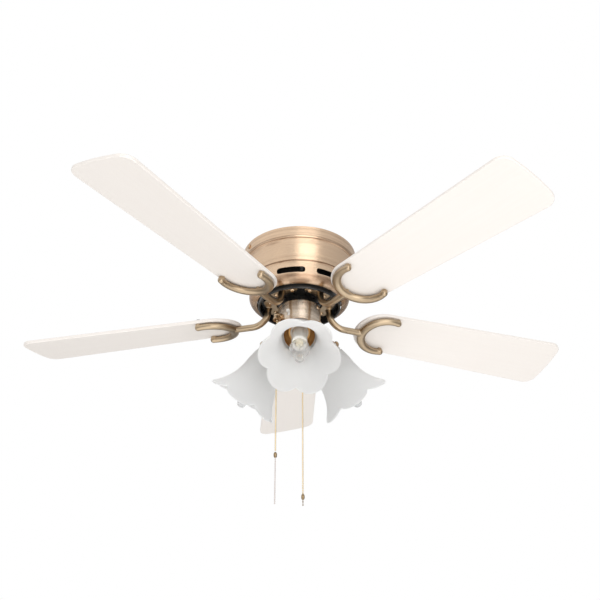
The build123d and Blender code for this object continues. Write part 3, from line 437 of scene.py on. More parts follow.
chain_brass = clouded(
    "chain_brass", (0.92, 0.76, 0.50, 1), (0.74, 0.56, 0.32, 1), 1.0, 0.14, 160.0, 2500.0, 0.01 * MM
)
tail_metal = clouded(
    "tail_metal", (0.74, 0.66, 0.62, 1), (0.55, 0.46, 0.43, 1), 1.0, 0.18, 160.0, 2500.0, 0.01 * MM
)
bronze = clouded(
    "bronze", (0.36, 0.26, 0.15, 1), (0.20, 0.13, 0.07, 1), 1.0, 0.22, 160.0, 2000.0, 0.02 * MM
)
# Painted shade: a darker, browner brass for the inside of the shade cups.
cup_painted_shade = clouded(
    "cup_painted_shade", (0.62, 0.36, 0.14, 1), (0.46, 0.25, 0.09, 1), 1.0, 0.30, 60.0, 1200.0, 0.02 * MM
)
print("plain metals, rubber and mouldings ready")

# %% [markdown]
# ## Blades
# The blades are board with a white foil pressed on. The foil carries a very faint grain
# that runs along the blade, and its gloss is that of a kitchen door. Each blade needs its
# own turn of the pattern, because the grain follows the blade and not the room.

# %% White foil
FOIL_WHITE = (0.865, 0.82, 0.775, 1)
FOIL_CREAM = (0.835, 0.78, 0.73, 1)
GRAIN_STRETCH = (6.0, 160.0, 60.0)  # along the blade, across it and through it


def white_foil(name, azimuth):
    """Foil whose grain runs along the blade at that azimuth."""
    finish = Finish(name)
    turned = finish.node(
        "ShaderNodeMapping",
        {"vector_type": "TEXTURE"},
        {"Vector": finish.position(), "Rotation": (0, 0, radians(azimuth))},
    )
    stretched = finish.vector_math("MULTIPLY", turned, GRAIN_STRETCH)
    grain = finish.noise(stretched, 1.0, 5.0, 0.6)
    pores = finish.noise(stretched, 6.0, 2.0, 0.5)
    cloud = finish.noise(finish.position(), 5.0, 2.0)
    tone = ((grain - 0.5) * 0.9 + (cloud - 0.5) * 0.8 + 0.45).clamp()
    return finish.shade(
        Base_Color=finish.mix(tone, FOIL_WHITE, FOIL_CREAM),
        Roughness=0.34 + grain * 0.10,
        Normal=finish.bump(grain * 0.7 + pores * 0.3, 0.05 * MM, 0.5),
    )


foils = [white_foil(f"white_foil_{n}", a) for n, a in enumerate(BLADE_AZIMUTHS, start=1)]
print("white foil:", len(foils), "turns of the grain")

# %% [markdown]
# ## Glass
# Lamp shades of this kind are pressed glass, etched until no image comes through. Light
# still does: it scatters inside the wall and comes out on the other side, so most of the
# shader is light scattered under the surface and a small part is rough transmission.
# Etching is never quite even. The bulb is clear glass with a faint waviness. Its wall is
# thin, so it bends light little and lets more than half of it straight through.

# %% Etched and clear glass
etched = Finish("etched_glass")
etch_cloud = etched.noise(etched.position(), 26.0, 3.0)
etch_grain = etched.noise(etched.position(), 1500.0, 2.0)
etch_colour = etched.mix(etch_cloud, (0.985, 0.983, 0.972, 1), (0.968, 0.968, 0.952, 1))
etched_glass = etched.shade(
    Base_Color=etch_colour,
    Roughness=0.50 + etch_grain * 0.12,
    Subsurface_Weight=0.85,
    Subsurface_Radius=(1.0, 1.0, 1.0),
    Subsurface_Scale=60.0 * MM,
    Transmission_Weight=0.15,
    IOR=1.30,
    Normal=etched.bump(etch_grain, 0.03 * MM, 0.4),
)

clear = Finish("clear_bulb_glass")
wave = clear.noise(clear.position(), 90.0, 2.0)
clear_glass = clear.shade(
    Base_Color=clear.mix(wave, (1, 1, 1, 1), (0.97, 0.98, 0.975, 1)),
    Roughness=0.02 + wave * 0.03,
    Transmission_Weight=1.0,
    IOR=1.18,
    Alpha=0.4,
    Normal=clear.bump(wave, 0.2 * MM, 0.2),
)
print("etched and clear glass ready")

# %% [markdown]
# ## Finishes onto the mechanical parts
# Every part that keeps its mechanical shape gets its finish by name. A part that a better
# shape stands in for later is hidden by then, and its finish here does no harm.

# %% Which part is made of what
FINISH_OF = {
    housing_brass: ["housing"],
    centre_brass: ["switch_housing", "light_kit_body", "kit_finial", "light_bushing"],
    screw_brass: [
        "housing_screws", "switch_housing_screws", "shade_screws", "iron_screws", "speed_bushing",
    ],
    bright_steel: [
        "ceiling_plate", "motor_hanger", "hanger_bolts", "motor_shaft", "shaft_pin", "shaft_nut",
        "stator_core", "bearing_inner_rings", "bearing_outer_rings", "bearing_balls",
        "rotor_ring", "rotor_screws", "switch_plate", "blade_screws",
    ],
    black_rubber: ["rubber_mounts"],
    copper_wire: ["stator_windings"],
    black_enamel: ["rotor_upper_cover", "rotor_lower_cover"],
    black_moulding: ["capacitor", "speed_switch", "reverse_switch", "light_switch", "wire_nuts"],
    white_moulding: ["reverse_slider"],
    socket_white: ["lamp_sockets"],
    cap_metal: ["bulb_bases"],
    clear_glass: [f"bulb_glass_{n}" for n in (1, 2, 3)],
    etched_glass: [f"shade_{n}" for n in (1, 2, 3)],
    iron_brass: [f"blade_iron_{n}" for n in range(1, 6)],
    chain_brass: ["speed_chain", "light_chain"],
    tail_metal: ["speed_chain_tail"],
    bronze: ["speed_coupling", "light_coupling"],
}
for number in (1, 2, 3):
    FINISH_OF[cup_brass[number - 1]] = [f"lamp_cup_{number}"]
for number in range(1, 6):
    FINISH_OF[foils[number - 1]] = [f"blade_{number}"]


PAINTED_SHADE_FROM = -14.0 * MM  # painted shade: the cup's inside is painted darker and browner from here outwards along its lamp
TURNED_ENOUGH = 0.3  # how far a face has to look inward or outward to count as that


def paint_cup_shade(number, azimuth):
    """Paints the faces inside a shade cup a darker, browner brass, as painted shade."""
    lamp = lamp_matrix(azimuth)
    back = lamp.inverted()
    mesh = nodes[f"lamp_cup_{number}"].data
    mesh.materials.append(cup_painted_shade)
    darkened = 0
    for face in mesh.polygons:
        centre = back @ face.center
        normal = back.to_3x3() @ face.normal
        inward = normal.xy.dot(centre.xy) < -TURNED_ENOUGH * centre.xy.length
        if centre.z > PAINTED_SHADE_FROM and (normal.z > TURNED_ENOUGH or inward):
            face.material_index = 1
            darkened += 1
    return darkened


dressed = set()
for material, names in FINISH_OF.items():
    for name in names:
        mesh = nodes[name].data
        mesh.materials.clear()
        mesh.materials.append(material)
        dressed.add(name)
darkened_faces = [paint_cup_shade(number, azimuth) for number, azimuth in enumerate(LAMP_AZIMUTHS, start=1)]
print("cup linings:", darkened_faces, "faces")
print(len(dressed), "of", len(nodes), "parts dressed; left:", sorted(set(nodes) - dressed))

# %% [markdown]
# ## Tools for new pieces
# New pieces start as a few points or a ready shape, and the mesh operators do the rest. A
# lathe shape is an outline spun round the z axis. It is then carried to its place inside
# the mesh, so that the object itself stays at the origin.

# %% Lathe, place and finish a mesh
MERGE_BELOW = 0.01 * MM


def spun(outline, steps=48):
    """A closed bmesh: an outline of (radius, height) points spun round the z axis."""
    shape = bmesh.new()
    points = [shape.verts.new((radius, 0, height)) for radius, height in outline]
    edges = [shape.edges.new(pair) for pair in zip(points, points[1:])]
    bmesh.ops.spin(
        shape,
        geom=points + edges,
        cent=(0, 0, 0),
        axis=(0, 0, 1),
        angle=2 * pi,
        steps=steps,
        use_merge=True,
    )
    bmesh.ops.remove_doubles(shape, verts=shape.verts, dist=MERGE_BELOW)
    bmesh.ops.recalc_face_normals(shape, faces=shape.faces)
    return shape


def gather(target, part, matrix):
    """Adds a copy of part to target, carried by matrix, and lets part go."""
    bmesh.ops.transform(part, matrix=matrix, verts=part.verts)
    carried = bpy.data.meshes.new("carried")
    part.to_mesh(carried)
    part.free()
    target.from_mesh(carried)
    bpy.data.meshes.remove(carried)


def finished(name, shape, material, body, smooth_below=40.0):
    """Turns a bmesh into an object that rides on a body. Sharper edges stay sharp."""
    mesh = bpy.data.meshes.new(name)
    shape.to_mesh(mesh)
    shape.free()
    mesh.materials.append(material)
    mesh.shade_smooth()
    mesh.set_sharp_from_angle(angle=radians(smooth_below))
    piece = bpy.data.objects.new(name, mesh)
    scene.collection.objects.link(piece)
    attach(piece, body)
    return piece


def curve_mesh(points, resolution, radius=0.0):
    """Mesh of a smooth curve through the points: a bare line, or a round wire with a radius."""
    data = bpy.data.curves.new("curve", "CURVE")
    data.dimensions = "3D"
    data.resolution_u = resolution
    data.bevel_depth = radius
    data.bevel_resolution = 2
    data.use_fill_caps = True
    spline = data.splines.new("NURBS")
    spline.points.add(len(points) - 1)
    for target, point in zip(spline.points, points):
        target.co = (*point, 1.0)
    spline.order_u = 3
    spline.use_endpoint_u = True
    curve = bpy.data.objects.new("curve", data)
    mesh = bpy.data.meshes.new_from_object(curve)
    bpy.data.objects.remove(curve)
    return mesh


def spoke_at(azimuth):
    """Level direction away from the fan's axis, at an azimuth in degrees."""
    angle = radians(azimuth)
    return Vector((cos(angle), sin(angle), 0))


print("lathe, curve and placing helpers ready")

# %% [markdown]
# ## Blade irons
# An iron is one casting: a foot, a bent arm and a horseshoe that cradles the blade. The
# mechanical part gives its rods and pads, and a casting would flow from one into the next.
# So a copy of it is merged, the horseshoe is drawn wider towards its root, as the casting
# is, and the copy is rebuilt from small even cells and smoothed, which rounds every corner
# where two rods meet.

# %% Cast irons
C_CENTRE = 169.5 * MM  # the horseshoe's middle, out from the axis
C_R = 43.5 * MM
ROOT_WIDER = 0.34
ROD_REACH = 6.4 * MM  # points this near the rod's middle are widened in full
FADE = 5.0 * MM  # and the widening ends this much further off
CELL = 0.9 * MM
ROUNDING_PASSES = 6


def kept_in(value):
    """The value kept between 0 and 1."""
    return min(max(value, 0.0), 1.0)


def cast_iron(number, azimuth):
    """One casting that rides on the rotor in place of the iron's mechanical shape."""
    board = blade_matrix(azimuth)
    back = board.inverted()
    shape = bmesh.new()
    shape.from_mesh(nodes[f"blade_iron_{number}"].data)
    bmesh.ops.remove_doubles(shape, verts=shape.verts, dist=0.002 * MM)
    for point in shape.verts:
        local = back @ point.co
        spoke = Vector((local.x - C_CENTRE, local.y))
        off_rod = spoke.length - C_R
        near_root = kept_in(0.15 - 1.1 * spoke.x / spoke.length)
        near_rod = 1 - kept_in((abs(off_rod) - ROD_REACH) / FADE)
        spoke *= 1 + off_rod * ROOT_WIDER * near_root * near_rod / spoke.length
        point.co = board @ Vector((spoke.x + C_CENTRE, spoke.y, local.z))
    rough = finished(f"rough_iron_{number}", shape, iron_brass, "rotor")
    cells = rough.modifiers.new("cells", "REMESH")
    cells.mode = "VOXEL"
    cells.voxel_size = CELL
    rounding = rough.modifiers.new("rounding", "SMOOTH")
    rounding.factor = 0.5
    rounding.iterations = ROUNDING_PASSES
    bpy.context.view_layer.update()
    depsgraph = bpy.context.evaluated_depsgraph_get()
    mesh = bpy.data.meshes.new_from_object(rough.evaluated_get(depsgraph))
    bpy.data.objects.remove(rough)
    smooth = bmesh.new()
    smooth.from_mesh(mesh)
    bpy.data.meshes.remove(mesh)
    iron = finished(f"cast_iron_{number}", smooth, iron_brass, "rotor", 60.0)
    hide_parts(f"blade_iron_{number}")
    return iron


irons = [cast_iron(number, azimuth) for number, azimuth in enumerate(BLADE_AZIMUTHS, start=1)]
print("irons:", [len(iron.data.polygons) for iron in irons])

# %% [markdown]
# ## Ruffled shades
# The shade is a bell that opens into six petals. It could be sculpted, but the mould for
# such glass is itself cut by a rule: the bell's outline is the same all round, and at the
# mouth the wall is drawn in and back between the petals. So the bell is spun first, then
# each point near the mouth is moved by that rule, and a wall is given to it last.

# %% Ruffled glass shade
SHADE_LENGTH = 111.0 * MM
NECK_R = 26.2 * MM
WAIST_R = 34.0 * MM
MOUTH_R = 67.4 * MM
GLASS_WALL = 3.0 * MM
PETALS = 6
NOTCH_IN = 14.0 * MM
NOTCH_BACK = 13.0 * MM
PETAL_ROUND = 0.27  # less makes the petals fuller and the notches narrower
CREASE_SOFT = 0.25  # 0 would carry a sharp crease all the way up the bell
RUFFLE_FROM = 0.42  # share of the length where the petals start
NECK_LIP = ((28.4 * MM, 0.2 * MM), (28.4 * MM, 3.0 * MM), (NECK_R, 4.8 * MM))
BELL_FROM = 0.09  # share of the length where the bell goes on from the lip
SHADE_STEPS = 24 * PETALS
SHADE_RINGS = 30


def bell_radius(share):
    """Radius of the bell at a share of its length, 0 at the neck."""
    shoulder = (WAIST_R - NECK_R) * sin(kept_in(share / 0.38) * pi / 2)
    flare = (MOUTH_R - WAIST_R) * kept_in((share - 0.22) / 0.78) ** 2.7
    return NECK_R + shoulder + flare


def ruffle(shape, first_petal):
    """Draws the wall in and back between the petals, more so towards the mouth."""
    for point in shape.verts:
        share = kept_in(point.co.z / SHADE_LENGTH)
        grown = kept_in((share - RUFFLE_FROM) / (1 - RUFFLE_FROM)) ** 2
        angle = Vector((1, 0)).angle_signed(point.co.xy) + radians(first_petal)
        soft = CREASE_SOFT * (1 - grown) + 0.002
        between = 1 - ((cos(angle * PETALS / 2) ** 2 + soft) / (1 + soft)) ** PETAL_ROUND
        radius = point.co.xy.length
        point.co.xy *= (radius - NOTCH_IN * grown * between) / radius
        point.co.z -= NOTCH_BACK * grown * between


def shade_shape(first_petal):
    """The outer skin of a shade, its neck at z = 0, turned by first_petal degrees."""
    outline = list(NECK_LIP)
    for ring in range(SHADE_RINGS + 1):
        share = BELL_FROM + (1 - BELL_FROM) * ring / SHADE_RINGS
        outline.append((bell_radius(share), SHADE_LENGTH * share))
    shape = spun(outline, SHADE_STEPS)
    ruffle(shape, first_petal)
    return shape


FIRST_PETAL = (24.0, 11.0, 0.0)  # degrees each shade is turned in its cup
shades = []
for number, azimuth in enumerate(LAMP_AZIMUTHS, start=1):
    shape = bmesh.new()
    gather(shape, shade_shape(FIRST_PETAL[number - 1]), lamp_matrix(azimuth))
    name = f"ruffled_shade_{number}"
    shade = finished(name, shape, etched_glass, "mounted", 60.0)
    wall = shade.modifiers.new("wall", "SOLIDIFY")
    wall.thickness = GLASS_WALL
    wall.offset = -1.0
    fine = shade.modifiers.new("smooth", "SUBSURF")
    fine.levels = 1
    fine.render_levels = 1
    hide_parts(f"shade_{number}")
    shades.append(shade)
print("shades:", len(shades), "each with", len(shades[0].data.vertices), "points before its wall")

# %% [markdown]
# ## Pull chains
# A pull chain is a row of hollow beads on short pins. The beads are many, so each one is a
# low ball of a few dozen faces. They follow one route that hangs plumb from its outlet: the
# route is a curve, its points are read back from it, and the beads are set along them. The
# thin chain below a coupling is made the same way, at its own bead size.

# %% Routes and beads
CHAIN_D = 3.2 * MM
TAIL_D = 2.4 * MM
BEAD_PITCH = 4.1 * MM  # of the thicker chain; the thin one's is in proportion
PIN_SHARE = 0.16  # a pin's radius as a share of its bead's diameter


def along_route(points, pitch):
    """The points of a smooth curve through the route, and places on it a pitch apart."""
    line = curve_mesh(points, 32)
    read = [vertex.co.copy() for vertex in line.vertices]
    bpy.data.meshes.remove(line)
    placed = [read[0].copy()]
    spare = 0.0
    for start, end in zip(read, read[1:]):
        step = (end - start).length
        gone = pitch - spare
        while gone <= step:
            placed.append(start.lerp(end, gone / step))
            gone += pitch
        spare = step - (gone - pitch)
    return read, placed


def add_bead(shape, place, radius):
    """Adds one low ball to a bmesh."""
    matrix = Matrix.Translation(place)
    bmesh.ops.create_uvsphere(shape, u_segments=10, v_segments=6, radius=radius, matrix=matrix)


def bead_chain(name, points, diameter, material, body):
    """One mesh of beads and pins along a route. Returns it with the route's own points."""
    line, places = along_route(points, BEAD_PITCH * diameter / CHAIN_D)
    shape = bmesh.new()
    for place in places:
        add_bead(shape, place, diameter / 2)
    pin_r = diameter * PIN_SHARE
    for start, end in zip(places, places[1:]):
        matrix = Matrix.Translation((start + end) / 2)
        length = (end - start).length
        bmesh.ops.create_cone(
            shape, segments=6, radius1=pin_r, radius2=pin_r, depth=length, matrix=matrix
        )
    piece = finished(name, shape, material, body, 50.0)
    print(name, len(places), "beads,", round((line[-1] - line[0]).length * 1000), "mm")
    return piece, line


# %% [markdown]
# The two halves of a chain are joined by a coupling: a slit brass tube, narrow at both
# ends so that the last bead cannot slip out.

# %% Couplings and chains
SPEED_XY = (-40.0 * MM, -24.0 * MM)
LIGHT_XY = (5.5 * MM, 13.0 * MM)
SPEED_HEIGHTS = (-140.0 * MM, -180.0 * MM, -398.0 * MM)
TAIL_HEIGHTS = (-408.0 * MM, -448.0 * MM, -488.0 * MM + TAIL_D / 2)
LIGHT_HEIGHTS = (-193.0 * MM, -230.0 * MM, -457.0 * MM)
COUPLING_L = 10.0 * MM
COUPLING_R = 2.9 * MM
# One end of a coupling, from its middle to its tip: shares of its radius and half length.
COUPLING_END = ((1.0, 0.30), (0.86, 0.62), (0.62, 0.88), (0.30, 1.0), (0.0, 1.0))
SHORT_END_L = 10.0 * MM
SHORT_END_BEAD = 1.2 * MM
SHORT_END_PIN = 0.6 * MM
PIN_INSIDE = 0.5 * MM  # how far the pin reaches up into the coupling


def coupling_shape(place, top, tail=0.0):
    """A tube with narrow ends, hanging from its top. tail adds a short end with a bead."""
    half = COUPLING_L / 2
    lower = [(COUPLING_R * out, -half * down) for out, down in COUPLING_END]
    upper = [(radius, -height) for radius, height in reversed(lower)]
    shape = bmesh.new()
    gather(shape, spun(upper + lower, 20), Matrix.Translation((*place, top - half)))
    if tail:
        low = -tail + SHORT_END_BEAD
        pin_outline = [(0, PIN_INSIDE), (SHORT_END_PIN, PIN_INSIDE), (SHORT_END_PIN, low), (0, low)]
        gather(shape, spun(pin_outline, 8), Matrix.Translation((*place, top - COUPLING_L)))
        for share in (0.45, 1.0):
            height = top - COUPLING_L - tail * share + SHORT_END_BEAD
            add_bead(shape, (*place, height), SHORT_END_BEAD)
    return shape


speed_end = coupling_shape(SPEED_XY, SPEED_HEIGHTS[-1])
speed_joint = finished("speed_chain_joint", speed_end, bronze, "speed_pull")
light_end = coupling_shape(LIGHT_XY, LIGHT_HEIGHTS[-1], SHORT_END_L)
light_joint = finished("light_chain_joint", light_end, bronze, "light_pull")
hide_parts("speed_coupling")
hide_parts("light_coupling")

STANDS_FOR = {
    "speed_bead_chain": "speed_chain",
    "speed_thin_chain": "speed_chain_tail",
    "light_bead_chain": "light_chain",
}
SPEED_PLAN = (SPEED_XY, SPEED_HEIGHTS, CHAIN_D, chain_brass)
TAIL_PLAN = (SPEED_XY, TAIL_HEIGHTS, TAIL_D, tail_metal)
LIGHT_PLAN = (LIGHT_XY, LIGHT_HEIGHTS, CHAIN_D, chain_brass)
# After its plan, each chain has its body, what its lower end is and the pieces found there.
chains = (
    ("speed_bead_chain", *SPEED_PLAN, "speed_pull", "connector", [speed_joint]),
    ("speed_thin_chain", *TAIL_PLAN, "speed_pull", "bare", []),
    ("light_bead_chain", *LIGHT_PLAN, "light_pull", "connector", [light_joint]),
)
for name, place, heights, diameter, material, body, far_end, ends in chains:
    route = [(*place, height) for height in heights]
    piece, line = bead_chain(name, route, diameter, material, body)
    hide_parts(STANDS_FOR[name])
    heights[0] - heights[-1]

# %% [markdown]
# ## Screws
# A screw head is small, but it is where a plain model gives itself away. The pan head is a
# lathe shape. Its cross slot is cut by slicing the head along the slot's sides and then
# pushing the faces between the cuts down. Thumb screws have a knurled rim instead, made by
# drawing every second column of the rim in.

# %% Screw heads
# Outlines of the heads from the middle of the top down to the seat, as shares of the head's
# radius and height.
PAN_HEAD = ((0, 1), (0.35, 0.98), (0.66, 0.88), (0.88, 0.62), (1, 0.30), (1, 0))
THUMB_HEAD = ((0, 0.92), (0.45, 0.92), (0.60, 1), (0.86, 1), (1, 0.86), (1, 0.14), (0.90, 0))
KNURL_IN = 0.91  # the rim's lower columns, as a share of its radius


def screw_outline(head, radius, height, shank_r, shank_l):
    """A head's outline at its real size, with a shank under it."""
    outline = [(radius * out, height * up) for out, up in head]
    return outline + [(shank_r, 0), (shank_r, -shank_l), (0, -shank_l)]


def pan_head(radius, height, shank_r, shank_l):
    """A pan head with a cross slot, its seat at z = 0, its shank going down."""
    shape = spun(screw_outline(PAN_HEAD, radius, height, shank_r, shank_l), 24)
    half_slot = 0.12 * radius
    reach = 0.52 * radius
    places = (-half_slot, -reach, half_slot, reach)
    for axis, place in [(axis, place) for axis in (0, 1) for place in places]:
        middle = Vector((0, 0, 0))
        middle[axis] = place
        normal = Vector((0, 0, 0))
        normal[axis] = 1.0
        geometry = shape.verts[:] + shape.edges[:] + shape.faces[:]
        bmesh.ops.bisect_plane(shape, geom=geometry, plane_co=middle, plane_no=normal, dist=0.001 * MM)
    slot_faces = []
    for face in shape.faces:
        x, y, z = face.calc_center_median()
        near, far = sorted((abs(x), abs(y)))
        if face.normal.z > 0.3 and z > 0 and near < half_slot and far < reach:
            slot_faces.append(face)
    sunk = bmesh.ops.extrude_face_region(shape, geom=slot_faces)
    bmesh.ops.delete(shape, geom=slot_faces, context="FACES")
    deep = [item for item in sunk["geom"] if isinstance(item, bmesh.types.BMVert)]
    bmesh.ops.translate(shape, verts=deep, vec=(0, 0, -0.5 * height))
    return shape


def thumb_head(radius, height, shank_r, shank_l, ribs=16):
    """A knurled thumb screw, its seat at z = 0, its shank going down."""
    shape = spun(screw_outline(THUMB_HEAD, radius, height, shank_r, shank_l), 2 * ribs)
    for point in shape.verts:
        turn = Vector((1, 0)).angle_signed(point.co.xy, 0.0) * ribs / pi
        if round(turn) % 2 and point.co.xy.length > 0.97 * radius:
            point.co.xy *= KNURL_IN
    return shape


def facing(place, outward, up=Vector((0, 0, 1))):
    """Matrix for a screw that goes in at a place, its head pointing outward."""
    side = up.cross(outward)
    if side.length < 0.1:
        side = Vector((1, 0, 0)).cross(outward)
    side.normalize()
    return columns(side, outward.cross(side), outward, place)


print("screw heads ready")

# %% Screws in their places
# Screw sizes: radius and height of the head, then radius and length of the shank.
IRON_SCREW = (4.4 * MM, 2.6 * MM, 2.0 * MM, 9.0 * MM)
BLADE_SCREW = (4.6 * MM, 2.4 * MM, 2.1 * MM, 11.0 * MM)
SHADE_SCREW = (5.2 * MM, 4.5 * MM, 1.8 * MM, 10.9 * MM)
HOUSING_SCREW = (4.2 * MM, 2.2 * MM, 1.85 * MM, 5.0 * MM)
SWITCH_SCREW = (3.2 * MM, 1.8 * MM, 1.4 * MM, 3.6 * MM)
HOUSING_SCREW_AZIMUTHS = (30.0, 210.0)
HOUSING_SCREW_R = 106.1 * MM
HOUSING_SCREW_Z = -9.0 * MM
SWITCH_SCREW_AZIMUTHS = (90.0, 330.0)
SWITCH_SCREW_R = 38.9 * MM
SWITCH_SCREW_Z = -119.0 * MM
FIRST_SCREW = (60.0, 0.0, 0.0)  # degrees from the top of each lamp to its first screw
SHADE_SCREW_R = 39.5 * MM
SHADE_SCREW_Z = 2.0 * MM  # out along the lamp from the shade's neck
IRON_FOOT_UNDER = -101.5 * MM
FOOT_SCREWS = ((50.0 * MM, 17.0 * MM), (50.0 * MM, -17.0 * MM))
C_SIDE = radians(77.0)
BLADE_SCREWS = (
    (C_CENTRE - C_R, 0.0),
    (C_CENTRE + C_R * cos(C_SIDE), C_R * sin(C_SIDE)),
    (C_CENTRE + C_R * cos(C_SIDE), -C_R * sin(C_SIDE)),
)
WASHER_T = 0.9 * MM
WASHER_LIFT = 0.05 * MM  # keeps the washer's underside just clear of the foil
WASHER_HOLE_R = 2.3 * MM
WASHER = (
    (WASHER_HOLE_R, 0),
    (6.6 * MM, 0),
    (7.0 * MM, 0.25 * MM),
    (7.0 * MM, 0.6 * MM),
    (6.4 * MM, WASHER_T),
    (WASHER_HOLE_R, WASHER_T),
    (WASHER_HOLE_R, 0),
)


def side_seat(azimuth, radius, height):
    """Matrix for a screw that goes in from the side, towards the fan's axis."""
    outward = spoke_at(azimuth)
    return facing(outward * radius + Vector((0, 0, height)), outward)


iron_set = bmesh.new()
blade_set = bmesh.new()
for azimuth in BLADE_AZIMUTHS:
    turn = Matrix.Rotation(radians(azimuth), 4, "Z")
    for x, y in FOOT_SCREWS:
        seat = turn @ Vector((x, y, IRON_FOOT_UNDER))
        gather(iron_set, pan_head(*IRON_SCREW), facing(seat, Vector((0, 0, -1))))
    board = blade_matrix(azimuth)
    for x, y in BLADE_SCREWS:
        seat = board @ Matrix.Translation((x, y, BLADE_T + WASHER_T))
        gather(blade_set, pan_head(*BLADE_SCREW), seat)
        under = board @ Matrix.Translation((x, y, BLADE_T + WASHER_LIFT))
        gather(blade_set, spun(WASHER, 32), under)

iron_heads = finished("iron_screw_set", iron_set, screw_brass, "rotor", 30.0)
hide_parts("iron_screws")
blade_heads = finished("blade_screw_set", blade_set, bright_steel, "rotor", 30.0)
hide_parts("blade_screws")

shade_set = bmesh.new()
for azimuth, first_screw in zip(LAMP_AZIMUTHS, FIRST_SCREW):
    lamp = lamp_matrix(azimuth)
    for turn in range(3):
        angle = radians(first_screw + 120.0 * turn)
        out = Matrix.Translation((SHADE_SCREW_R, 0, SHADE_SCREW_Z))
        seat = lamp @ Matrix.Rotation(angle, 4, "Z") @ out @ Matrix.Rotation(pi / 2, 4, "Y")
        gather(shade_set, thumb_head(*SHADE_SCREW), seat)
thumb_screws = finished("shade_thumb_screws", shade_set, screw_brass, "mounted", 30.0)
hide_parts("shade_screws")

housing_set = bmesh.new()
for azimuth in HOUSING_SCREW_AZIMUTHS:
    seat = side_seat(azimuth, HOUSING_SCREW_R, HOUSING_SCREW_Z)
    gather(housing_set, thumb_head(*HOUSING_SCREW, 12), seat)
side_screws = finished("housing_thumb_screws", housing_set, screw_brass, "mounted", 30.0)
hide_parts("housing_screws")

switch_set = bmesh.new()
for azimuth in SWITCH_SCREW_AZIMUTHS:
    seat = side_seat(azimuth, SWITCH_SCREW_R, SWITCH_SCREW_Z)
    gather(switch_set, pan_head(*SWITCH_SCREW), seat)
name = "switch_housing_screw_set"
switch_screws = finished(name, switch_set, screw_brass, "mounted", 30.0)
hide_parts("switch_housing_screws")
print("screws: 10 irons, 15 blades, 9 shades, 2 housing, 2 switch housing")

# %% [markdown]
# ## Reverse slider
# The slider is one moulding: a ribbed knob that stands out of its slot, and a strip behind
# the wall that keeps the slot covered wherever the knob is.

# %% Ribbed knob with its strip
SLIDER_AZIMUTH = 240.0
KNOB_Z = -134.0 * MM
KNOB_W = 5.2 * MM
KNOB_H = 5.0 * MM
KNOB_FROM = 36.4 * MM
KNOB_TO = 42.4 * MM
STRIP_W = 5.8 * MM
STRIP_T = 0.8 * MM
STRIP_TOP = 9.6 * MM
STRIP_LOW = -12.4 * MM
RIBS = 3
RIB_DEPTH = 0.6 * MM
RIB_SLOPE = 0.25 * MM
SLIDER_EDGE = 0.22 * MM

outward = spoke_at(SLIDER_AZIMUTH)
upward_axis = Vector((0, 0, 1))
knob_place = columns(outward.cross(-upward_axis), upward_axis, outward, Vector((0, 0, KNOB_Z)))
# The knob's side view, as (height, distance from the fan's axis).
side = [(-KNOB_H / 2, KNOB_FROM), (-KNOB_H / 2, KNOB_TO - RIB_DEPTH)]
for rib in range(RIBS):
    low = -KNOB_H / 2 + KNOB_H * (rib + 0.18) / RIBS
    high = -KNOB_H / 2 + KNOB_H * (rib + 0.72) / RIBS
    side += [(low, KNOB_TO), (high, KNOB_TO), (high + RIB_SLOPE, KNOB_TO - RIB_DEPTH)]
side += [(KNOB_H / 2, KNOB_TO - RIB_DEPTH), (KNOB_H / 2, KNOB_FROM)]
knob = bmesh.new()
outline = [knob.verts.new((-KNOB_W / 2, height, reach)) for height, reach in side]
drawn = bmesh.ops.extrude_face_region(knob, geom=[knob.faces.new(outline)])
far_side = [item for item in drawn["geom"] if isinstance(item, bmesh.types.BMVert)]
bmesh.ops.translate(knob, verts=far_side, vec=(KNOB_W, 0, 0))
strip_size = Matrix.Diagonal((STRIP_W, STRIP_TOP - STRIP_LOW, STRIP_T, 1))
strip_at = Matrix.Translation((0, (STRIP_TOP + STRIP_LOW) / 2, KNOB_FROM + STRIP_T / 2))
bmesh.ops.create_cube(knob, size=1.0, matrix=strip_at @ strip_size)
bmesh.ops.recalc_face_normals(knob, faces=knob.faces)
bmesh.ops.bevel(
    knob,
    geom=knob.edges[:],
    offset=SLIDER_EDGE,
    segments=2,
    affect="EDGES",
    profile=0.5,
    clamp_overlap=True,
)
slider_shape = bmesh.new()
gather(slider_shape, knob, knob_place)
slider = finished("ribbed_slider", slider_shape, white_moulding, "reverse_knob", 35.0)
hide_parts("reverse_slider")
print("slider:", len(slider.data.polygons), "faces")

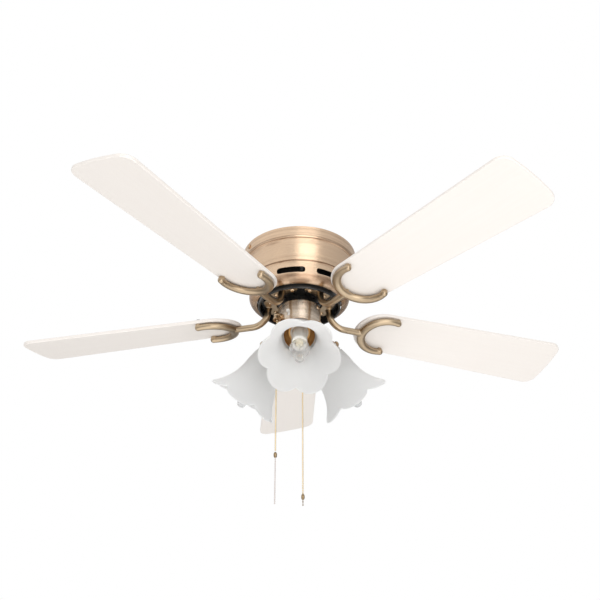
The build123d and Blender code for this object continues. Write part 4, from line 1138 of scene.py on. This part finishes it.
# %% [markdown]
# ## Inside the bulbs
# A clear bulb shows what it holds: a glass stem, two lead wires and a fine coil between
# them. The leads and the coil are swept tubes along short curves.

# %% Bulb stems and filaments
FILAMENT_Z = 78.0 * MM
FILAMENT_HALF = 5.2 * MM
STEM_TOP = 62.0 * MM
STEM_FOOT = 44.4 * MM
STEM = (
    (0, STEM_FOOT),
    (4.6 * MM, STEM_FOOT),
    (3.0 * MM, 50 * MM),
    (2.2 * MM, 58 * MM),
    (1.6 * MM, STEM_TOP),
    (0, STEM_TOP + 0.8 * MM),
)
LEAD = (
    (1.0 * MM, 55 * MM),
    (1.2 * MM, 64 * MM),
    (3.4 * MM, 72 * MM),
    (FILAMENT_HALF, FILAMENT_Z),
)
LEAD_R = 0.30 * MM
COIL_TURNS = 9
COIL_STEPS = 8  # points to a turn
COIL_R = 0.7 * MM
COIL_SAG = 1.5 * MM
COIL_WIRE_R = 0.12 * MM


def wire_tube(points, radius):
    """A round wire along a smooth curve, as a bmesh."""
    mesh = curve_mesh(points, 4, radius)
    shape = bmesh.new()
    shape.from_mesh(mesh)
    bpy.data.meshes.remove(mesh)
    return shape


stem_set = bmesh.new()
wire_set = bmesh.new()
for azimuth in LAMP_AZIMUTHS:
    lamp = lamp_matrix(azimuth)
    gather(stem_set, spun(STEM, 20), lamp)
    for side in (-1, 1):
        lead = [(side * x, 0, z) for x, z in LEAD]
        gather(wire_set, wire_tube(lead, LEAD_R), lamp)
    coil = []
    for index in range(COIL_TURNS * COIL_STEPS + 1):
        share = index / (COIL_TURNS * COIL_STEPS)
        angle = 2 * pi * COIL_TURNS * share
        x = FILAMENT_HALF * (2 * share - 1)
        z = FILAMENT_Z + COIL_SAG * sin(pi * share) + COIL_R * sin(angle)
        coil.append((x, COIL_R * cos(angle), z))
    gather(wire_set, wire_tube(coil, COIL_WIRE_R), lamp)
finished("bulb_stems", stem_set, clear_glass, "mounted")
finished("bulb_filaments", wire_set, bright_steel, "mounted")
print("3 stems, 6 leads, 3 coils")
